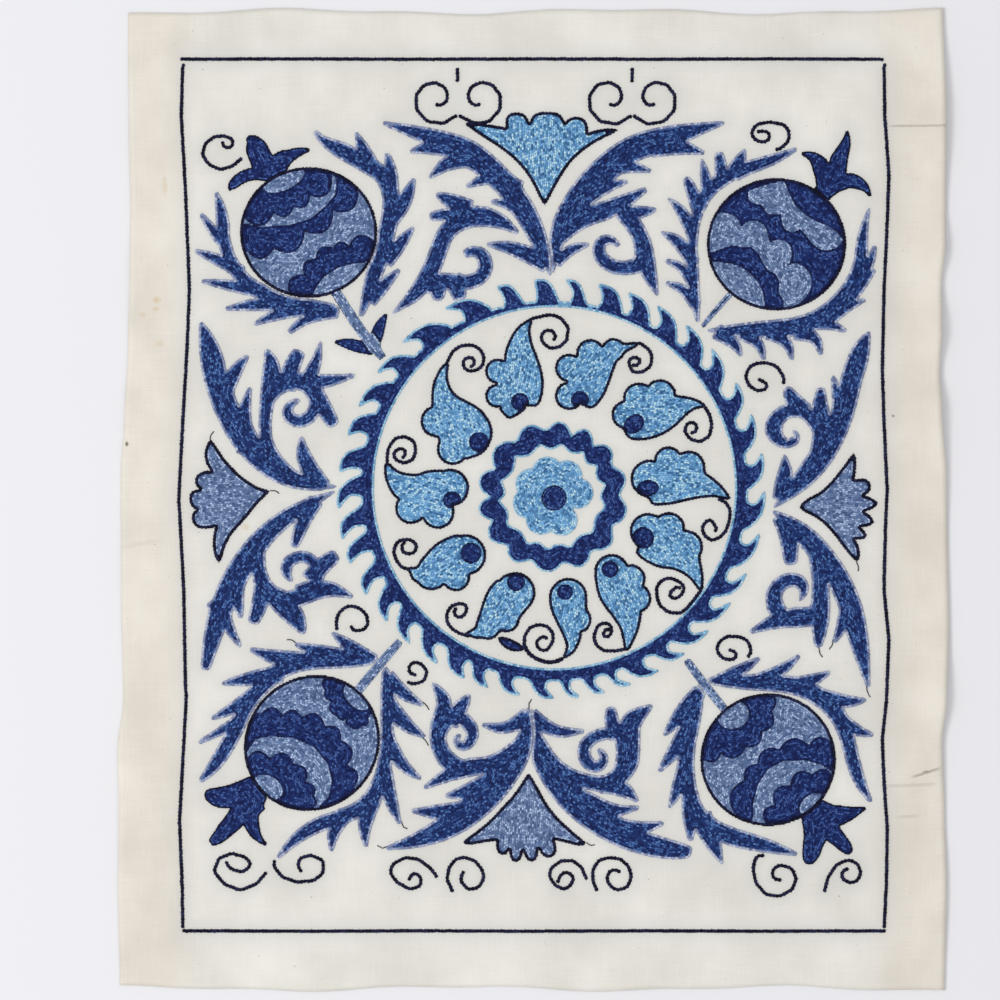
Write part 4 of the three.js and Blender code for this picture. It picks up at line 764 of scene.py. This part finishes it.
# The four fans of petals: rounded petals between two blades, and a foot that draws to a point.
fans = {
    "tulip_left": [
        (211, 439), (214, 443.5), (218, 449), (222, 455.5), (227.5, 462.5), (234, 469.5), (241, 476),
        (249, 482), (257, 486.8), (264, 489.3), (270.3, 490.5), (266, 495.5), (259, 502), (251, 512),
        (243.5, 521), (236, 529), (230, 536.5), (226, 544.5), (223.5, 552), (221.5, 559),
        (219.5, 563.5), (216.5, 560), (214, 553.5), (213, 546), (213.2, 539), (214, 533), (215.3, 527),
        (209, 528.6), (202, 528.8), (196.5, 527), (193, 523), (191.8, 517), (192.8, 512.6),
        (196.5, 509.8), (191.5, 506.5), (189.3, 500.5), (189.6, 495.5), (192, 491.5), (197, 489.6),
        (200, 489), (196, 486), (194.8, 480.5), (197, 475), (202, 472), (207, 471), (211, 471),
        (207.5, 466), (205.3, 460), (204.7, 453.5), (206, 447), (208.3, 442),
    ],
    "tulip_right": [
        (853.5, 452.5), (855.5, 457), (856, 464), (855.5, 471), (854, 479.5), (858, 479), (863, 478.5),
        (867.6, 480), (870.6, 484), (870.6, 489), (868, 493), (864, 495.6), (869.5, 497),
        (874.5, 499.8), (878.3, 503.3), (875, 507), (870.5, 509.6), (864.5, 511.8), (868.8, 514.5),
        (872.5, 518.5), (874, 522), (870.8, 525), (866, 526.7), (860.5, 527.2), (864, 530.8),
        (867, 535.3), (864.8, 538.5), (860, 539.6), (854.8, 539.4), (857.4, 544), (859.2, 549),
        (859.7, 554), (858.9, 559), (857, 562), (853, 558.8), (848.8, 553.8), (843.6, 547.3),
        (838.4, 540.3), (832, 532), (825, 524.5), (817.4, 518.4), (809.7, 514.2), (803.5, 511.5),
        (799, 507), (803, 502), (807.5, 498.6), (813.5, 495.4), (819.5, 492.4), (825.3, 487.6),
        (831.5, 481.2), (836.8, 474.6), (842, 468), (846.5, 462), (850, 456.8),
    ],
    "tulip_bottom": [
        (528.8, 772.5), (533.6, 780.4), (538.6, 789.4), (544.2, 799.4), (550.3, 809), (557.8, 817.8),
        (567.2, 826.8), (576.8, 835.2), (587, 843.2), (582.5, 845.8), (575, 844.9), (566, 842.4),
        (554.6, 839.6), (556.3, 846), (556.2, 852.2), (553, 856.6), (547.2, 857.6), (542.2, 855),
        (538.6, 849), (537.6, 856), (534.6, 861), (530, 861.6), (526, 858.4), (523, 851), (521.4, 858),
        (517.4, 862), (512.6, 861.2), (509.8, 856.4), (509.2, 850), (506.4, 854.2), (501, 854.8),
        (497.2, 851.6), (496, 846), (496.6, 840.6), (488.5, 841.2), (478.6, 843.4), (469.2, 844.6),
        (461.5, 843), (468.4, 837), (477, 831), (486.4, 823.6), (494.4, 815.8), (502.2, 807.2),
        (509.6, 799.2), (516, 791.6), (521, 784), (525.2, 777.4),
    ],
    "tulip_top": [
        (462, 122), (469, 122.4), (476.5, 123.1), (490, 125), (505.8, 127.6), (505.4, 119),
        (508.6, 114.4), (514, 112.6), (521, 112.8), (526.4, 116), (529.6, 123), (532.2, 116),
        (538, 112.8), (547, 112), (556, 112.6), (561.6, 116), (565, 122.6), (568.6, 118.8), (574, 117),
        (580.6, 117.4), (585.6, 120.6), (588, 126.6), (588, 133), (596.4, 130.3), (608, 128.6),
        (620, 129.2), (612.4, 134), (601, 139.2), (589.4, 146), (578, 154.8), (569, 164.2),
        (561.6, 175.4), (555, 187), (549.4, 198), (544.4, 206), (539.4, 197.2), (533.8, 185),
        (526.8, 173.4), (517.8, 162.8), (507.2, 153.2), (495, 144.8), (483.2, 137), (471.8, 129.6),
    ],
}


def outlineOf(node):
    if node not in fans:
        return topLoops(node)
    loop = plan(*fans[node])
    return [loop if areaOf(loop) > 0 else loop[::-1]]


def workMotif(node, look):
    work = newWork()
    raw = outlineOf(node)
    line = look.get("line")
    routes = []
    for loop in raw:
        if line:
            for first, last in narrowEnds(loop, lineEnds):
                route, unused, met = walkIn(loop, first, last, lineEnds["stopWidth"])
                if len(route) > lineEnds["fewest"]:
                    route = smoothLine(route)
                    if look.get("hooks"):
                        route = hooked(route)
                    routes.append(route)
                    chainRow(work, route, False, line, chain["lineWidth"], chain["edgeLink"])
                if met:
                    break
        else:
            for first, last in narrowEnds(loop, bladeTips):
                route, widths, unused = walkIn(loop, first, last, bladeTips["stopWidth"])
                enough = widths > bladeTips["thinnest"]
                if enough.sum() > bladeTips["fewest"]:
                    chainRow(work, route[enough], False, look["edge"], 1, 2, widths[enough] * 1.1)
    if "fill" not in look:
        return work
    ground = depthOf([rounded(loop, look.get("tip", sharpCorner)) for loop in raw])
    workedCells.append(ground["cells"][::37])
    if routes:
        along = np.vstack([route[:-3] for route in routes])
        close = nearest(ground["cells"], along) < lineEnds["clear"]
        ground["depth"][ground["inside"]] = np.where(close, -1, ground["depth"][ground["inside"]])
    addBed(work, ground, ground["depth"], 0.3, look["edge"])
    if node in fruits:
        workFruit(work, ground, fruits[node])
        return work
    left = ground["depth"] + chain["outlineSpread"]
    width = look.get("edgeWidth", chain["edgeWidth"])
    if node in eyes:
        rowsAt(work, ground, left, width / 2, look["edge"], width, chain["edgeLink"])
        inner = np.where(left < 0, -1, left - width + 0.5)
        if "leaf" in eyes[node]:
            inner = workPart(work, ground, inner, oval(**eyes[node]["leaf"]), "indigo")
        eye = {k: eyes[node][k] for k in ("at", "wide", "high", "tilt") if k in eyes[node]}
        inner = workPart(work, ground, inner, oval(**eye), "indigo", "deepBlue", 1.5)
        fillArea(work, ground, inner, look["fill"], grain=eyes[node].get("grain"))
        return work
    fillArea(work, ground, left, look["fill"], look["edge"], width, grains.get(node))
    return work


bedShare = 0.08  # the hidden beds share a small corner of each piece's picture


def pieceFrom(name, work, materials):
    points = np.vstack(work["points"]) / 1000
    faces = np.vstack(work["faces"])
    bed = np.concatenate(work["bed"])
    corners = faces.ravel()
    mesh = bpy.data.meshes.new(name)
    mesh.vertices.add(len(points))
    mesh.vertices.foreach_set("co", points.ravel())
    mesh.loops.add(len(corners))
    mesh.loops.foreach_set("vertex_index", corners)
    mesh.polygons.add(len(faces))
    mesh.polygons.foreach_set("loop_start", np.arange(0, len(corners), 4))
    used = sorted(set(work["silk"]))
    for silk in used:
        mesh.materials.append(materials[silk])
    mesh.polygons.foreach_set("material_index", [used.index(silk) for silk in work["silk"]])
    mesh.update(calc_edges=True)
    # The random tone of each link and the painted shade across it are stored for the silk material.
    for shade, domain in (("tone", "FACE"), ("crest", "POINT")):
        values = np.concatenate(work[shade])
        mesh.attributes.new(shade, "FLOAT", domain).data.foreach_set("value", values)
    low = points.min(0)
    reach = max(points.max(0)[:2] - low[:2])
    flat = (points[corners][:, :2] - low[:2]) / reach
    onBed = np.repeat(bed, 4)
    flat = np.where(onBed[:, None], flat * bedShare, bedShare + 0.01 + flat * (0.99 - bedShare))
    mesh.uv_layers.new(name="OFBake").data.foreach_set("uv", flat.ravel())
    mesh.polygons.foreach_set("use_smooth", np.ones(len(faces), bool))
    return addObject(name, mesh)


silkMaterials = {name: silkMaterial(name, look) for name, look in silks.items()}
allLoops = []
workedCells = []
total = 0
for node in sorted(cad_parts):
    if node == "ground_cloth":
        continue
    kind = node if node in looks else node.split("_")[0]
    work = workMotif(node, looks[kind])
    allLoops += outlineOf(node)
    piece = pieceFrom(node + "_stitching", work, silkMaterials)
    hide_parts(node)
    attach(piece, "root")
    total += sum(len(p.vertices) - 2 for p in piece.data.polygons)


# Loose ends of thread at some tips: each starts at a tip and runs out a little way.
looseEnds = {
    "width": 0.75,
    "paths": [
        [(421, 703), (425, 706), (428, 711)], [(423, 736), (427, 739), (429, 744)],
        [(401, 822), (403, 827), (407, 829)], [(388, 847), (383, 849), (378, 846)],
        [(290, 640), (286, 637), (281, 637)], [(835, 640), (834, 646), (831, 650)],
        [(818, 651), (819, 657), (822, 661)], [(867, 686), (868, 692), (871, 697)],
        [(856, 562), (858, 567), (858, 572)], [(210, 440), (211, 435), (214, 431)],
        [(272, 490), (277, 490), (281, 493)], [(585, 843), (590, 846), (594, 845)],
        [(529, 709), (529, 704), (532, 700)],
    ],
}
loose = newWork()
edgePoints = np.vstack([evenly(loop, 0.5) for loop in allLoops])
for path in looseEnds["paths"]:
    path = plan(*path)
    gap = edgePoints - path[0]
    nearestEdge = gap[np.hypot(*gap.T).argmin()]
    chainRow(loose, smoothLine(path + nearestEdge, 1), False, "navy", looseEnds["width"], 1.2)
threadEnds = pieceFrom("thread_ends", loose, silkMaterials)
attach(threadEnds, "root")
print("loose ends made")


# The ground cloth

cloth = {
    "length": 600, "thickness": 1.2, "columns": 150, "rows": 178, "panelHalfWidth": 219,
    "pucker": 0.3, "puckerSize": 19, "endWobble": 1.4, "bareReach": 9, "besideShadeReach": 5,
}
# Each selvage from end to end: how far along, how far out, and how high it lifts.
leftSelvage = [
    (-300, -252, 0), (-235, -253, 0.6), (-188, -252.5, 1.2), (-153, -253.5, 0.4), (-122, -250, 0),
    (-55, -251, 0.8), (13, -251.5, 0.2), (53, -249, 1), (92, -247, 0.5), (135, -246, 1.4),
    (172, -245.5, 0.3), (233, -246.5, 0.8), (300, -247, 0),
]
rightSelvage = [
    (-300, 251, 0), (-234, 252, 1.2), (-192, 251, 0.4), (-149, 249.5, 1.5), (-120, 252, 4.2),
    (-85, 253.5, 1), (-18, 252.5, 0.6), (13, 252, 1.8), (55, 249, 4.6), (78, 248, 1.6),
    (104, 249, 5), (132, 249, 1.4), (154, 251, 4), (177, 251.5, 1), (233, 251.5, 4.4),
    (300, 250, 0.6),
]


def selvage(table, y):
    rows = np.array(table)
    k = np.clip(np.searchsorted(rows[:, 0], y), 1, len(rows) - 1)
    a, b = rows[k - 1], rows[k]
    t = np.clip((y - a[:, 0]) / (b[:, 0] - a[:, 0]), 0, 1)
    t = t * t * (3 - 2 * t)
    return a[:, 1] + (b[:, 1] - a[:, 1]) * t, a[:, 2] + (b[:, 2] - a[:, 2]) * t


def softNoise(x, y, size, seed):
    waves = np.random.default_rng(seed)
    found = np.zeros_like(x)
    for unused in range(14):
        angle, phase = waves.uniform(0, 2 * np.pi, 2)
        pitch = size * waves.uniform(0.6, 1.6)
        found += np.sin((x * np.cos(angle) + y * np.sin(angle)) * 2 * np.pi / pitch + phase)
    return found / 14 ** 0.5


def makeCloth():
    t = np.linspace(0, 1, cloth["columns"] + 1)
    y = np.linspace(-cloth["length"] / 2, cloth["length"] / 2, cloth["rows"] + 1)
    leftX, leftLift = selvage(leftSelvage, y)
    rightX, rightLift = selvage(rightSelvage, y)
    x = leftX[:, None] + (rightX - leftX)[:, None] * t
    panel = cloth["panelHalfWidth"]
    outLeft = np.clip((-panel - x) / (-panel - leftX[:, None]), 0, 1)
    outRight = np.clip((x - panel) / (rightX[:, None] - panel), 0, 1)
    z = leftLift[:, None] * outLeft ** 2 + rightLift[:, None] * outRight ** 2
    yy = np.repeat(y[:, None], len(t), 1)
    reach = yy / (cloth["length"] / 2)
    yy = yy + cloth["endWobble"] * (np.sin(x / 31) + 0.5 * np.sin(x / 13 + reach) - 1.5) * reach ** 15
    cells = np.stack([x.ravel(), yy.ravel()], 1)
    marks = np.vstack([evenly(loop, 2.5) for loop in allLoops] + workedCells)
    away = nearest(cells, marks).reshape(x.shape)
    bare = np.clip(away / cloth["bareReach"], 0, 1) ** 1.5
    # Painted shade: grey on the cloth close to the stitching, fading over a few millimetres.
    beside = np.exp(-away / cloth["besideShadeReach"])
    fine = softNoise(x, yy, cloth["puckerSize"], 3)
    broad = softNoise(x, yy, cloth["puckerSize"] * 2.4, 5)
    pucker = fine * 0.6 + broad * 0.6
    edgeways = np.clip((x - leftX[:, None]) / 6, 0, 1) * np.clip((rightX[:, None] - x) / 6, 0, 1)
    top = z + cloth["thickness"] + cloth["pucker"] * pucker * bare * edgeways
    rows, columns = x.shape
    upper, lower = [np.stack([x, yy, height], 2).reshape(-1, 3) for height in (top, z)]
    index = np.arange(rows * columns).reshape(rows, columns)
    a, b = index[:-1, :-1].ravel(), index[:-1, 1:].ravel()
    c, d = index[1:, 1:].ravel(), index[1:, :-1].ravel()
    count = rows * columns
    faces = [np.stack([a, b, c, d], 1), np.stack([d, c, b, a], 1) + count]
    rim = np.concatenate([index[0, :-1], index[:-1, -1], index[-1, :0:-1], index[:0:-1, 0]])
    after = np.roll(rim, -1)
    faces.append(np.stack([rim + count, after + count, after, rim], 1))
    mesh = bpy.data.meshes.new("cloth")
    mesh.from_pydata((np.vstack([upper, lower]) / 1000).tolist(), [], np.vstack(faces).tolist())
    mesh.polygons.foreach_set("use_smooth", np.ones(len(mesh.polygons), bool))
    shades = np.concatenate([beside.ravel(), np.zeros(rows * columns)])
    mesh.attributes.new("beside", "FLOAT", "POINT").data.foreach_set("value", shades)
    return addObject("cotton_cloth", mesh)


# The grey mixed in beside the stitching is painted shade.
cottonLook = {
    "light": (235, 229, 219), "shade": (217, 210, 199), "beside": (205, 204, 201),
    "panel": (1.01, 1.045, 1.08, 1), "panelEdge": (200, 224), "besideShadeShare": 0.55, "threadPitch": 0.47,
    # The crease colour is painted shade for the creases' troughs.
    "stain": (206, 180, 130), "fray": (92, 80, 66), "speck": (150, 130, 102), "crease": (176, 168, 154),
}
# Each mark: its place, how wide and how high it is on the plan, and how strongly it shows.
marks = {
    "stain": [
        ((157, 300), 5, 4, 0.5), ((156, 309), 4, 3, 0.4), ((143, 315), 4, 3, 0.35),
        ((160, 344), 6, 4, 0.3), ((165, 186), 3, 12, 0.3), ((246, 527), 5, 4, 0.35),
    ],
    "fray": [((127, 444), 2, 3.2, 0.9), ((893, 416), 1.6, 1.6, 0.9), ((926, 772), 4, 2.2, 0.5)],
}
# Sharp creases from end to end: how wide they are, in millimetres, how deep, and how dark the painted shade
# in each is.
creases = [
    {"from": (889, 126), "to": (950, 126), "wide": 0.8, "deep": 0.5, "dark": 0.55},
    {"from": (912, 777), "to": (940, 768), "wide": 0.9, "deep": 0.7, "dark": 0.75},
    {"from": (884, 786), "to": (936, 784), "wide": 1.2, "deep": 0.4, "dark": 0.28},
    {"from": (898, 817), "to": (919, 816), "wide": 1.1, "deep": 0.4, "dark": 0.25},
    {"from": (120, 548), "to": (160, 540), "wide": 1.6, "deep": 0.3, "dark": 0.12},
]


def cottonMaterial():
    shader = Shader("handloomCotton", {"Specular IOR Level": 0.15})
    place = shader.millimetres()
    x, y = [shader.node("SeparateXYZ", {}, {0: place}, k) for k in (0, 1)]
    warpSlub = shader.noise(shader.stretched(place, (3.2, 0.05, 1)), 1.0, 2.0)
    weftSlub = shader.noise(shader.stretched(place, (0.05, 3.2, 1)), 1.0, 2.0)
    patches = shader.noise(place, 0.02, 3.0)
    pitch = 2 * math.pi / cottonLook["threadPitch"]
    warp = shader.node("Math", {"operation": "SINE"}, {0: x * pitch})
    weft = shader.node("Math", {"operation": "SINE"}, {0: y * pitch})
    weave = warp * weft
    threads = warpSlub * 0.5 + weftSlub * 0.5
    tone = shader.between(threads * 0.42 + patches * 0.58, 0.3, 0.7)
    colour = shader.mix(tone, rgb(*cottonLook["shade"]), rgb(*cottonLook["light"]))
    # Painted shade: grey mixed into the cloth close to the stitching.
    beside = shader.node("Attribute", {"attribute_name": "beside"}, {}, 2)
    colour = shader.mix(beside * cottonLook["besideShadeShare"], colour, rgb(*cottonLook["beside"]))
    # The worked panel is greyer than its yellowed margins.
    panel = 1 - shader.between((x * x) ** 0.5, *cottonLook["panelEdge"])
    colour = shader.mix(panel, colour, cottonLook["panel"], "MULTIPLY")
    specks = shader.between(shader.noise(place, 0.34, 2.0, 0.7), 0.735, 0.775)
    colour = shader.mix(specks * 0.6, colour, rgb(*cottonLook["speck"]))
    ragged = shader.noise(place, 0.5, 3.0) * 0.9
    for kind, at, wide, high, strength in [(kind, *mark) for kind in marks for mark in marks[kind]]:
        (sx, sy), = plan(at)
        across = (x - sx) / (wide * planStep)
        up = (y - sy) / (high * planStep)
        distance = (across * across + up * up) ** 0.5 + ragged
        mask = (1 - shader.between(distance, 0.6, 1.7)) * strength
        colour = shader.mix(mask, colour, rgb(*cottonLook[kind]))
    folds = 0
    for crease in creases:
        a, b = plan(crease["from"], crease["to"])
        length = float(np.hypot(*(b - a)))
        dx, dy = [float(v) for v in (b - a) / length]
        along = (x - float(a[0])) * dx + (y - float(a[1])) * dy
        off = (x - float(a[0])) * dy - (y - float(a[1])) * dx + (ragged - 0.45) * 1.1
        ends = shader.between(along, -3, 4) * (1 - shader.between(along, length - 4, length + 3))
        off = (off * off) ** 0.5
        trough = (1 - shader.between(off, crease["wide"] * 0.15, crease["wide"])) * ends
        # Painted shade: each trough is mixed towards the darker crease colour.
        colour = shader.mix(trough * crease["dark"], colour, rgb(*cottonLook["crease"]))
        folds = folds + trough * crease["deep"]
    height = weave * 0.12 + threads * 0.7 - folds * 4
    return shader.finish(colour, 0.9 + weave * 0.03, height)


clothPiece = makeCloth()
clothPiece.data.materials.append(cottonMaterial())
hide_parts("ground_cloth")
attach(clothPiece, "root")
print("cloth laid")


# Floor, light and camera

def makeFloor():
    shader = Shader("paleFloor", {
        "Base Color": rgb(232, 232, 236), "Roughness": 0.9, "Specular IOR Level": 0.0,
    })
    bpy.ops.mesh.primitive_plane_add(size=6, location=(0, 0, -0.0002))
    floor = bpy.context.object
    floor.name = "floor"
    floor.data.materials.append(shader.material)


studio = {
    "sky": 0.77, "lamp": 50, "lampSize": 1.4, "lampPlace": (-2.4, -0.3, 2.8),
    "cameraHeight": 3.0, "frameWidth": 0.61, "frameMiddle": (500, 500),
}


def makeStudio():
    world = bpy.data.worlds.new("studioSky")
    world.use_nodes = True
    background = world.node_tree.nodes["Background"].inputs
    background["Color"].default_value = (1, 1, 1, 1)
    background["Strength"].default_value = studio["sky"]
    bpy.context.scene.world = world
    lamp = bpy.data.lights.new("softLamp", "AREA")
    lamp.energy = studio["lamp"]
    lamp.size = studio["lampSize"]
    holder = addObject("softLamp", lamp)
    holder.location = studio["lampPlace"]
    holder.rotation_euler = (-Vector(studio["lampPlace"])).to_track_quat("-Z", "Y").to_euler()
    (x, y), = plan(studio["frameMiddle"])
    camera = bpy.data.cameras.new("camera")
    camera.sensor_width = 36
    camera.lens = 36 * studio["cameraHeight"] / studio["frameWidth"]
    viewer = addObject("camera", camera)
    viewer.location = (x / 1000, y / 1000, studio["cameraHeight"])
    bpy.context.scene.camera = viewer
    bpy.context.scene.view_settings.view_transform = "Standard"


makeFloor()
makeStudio()
print("studio ready")
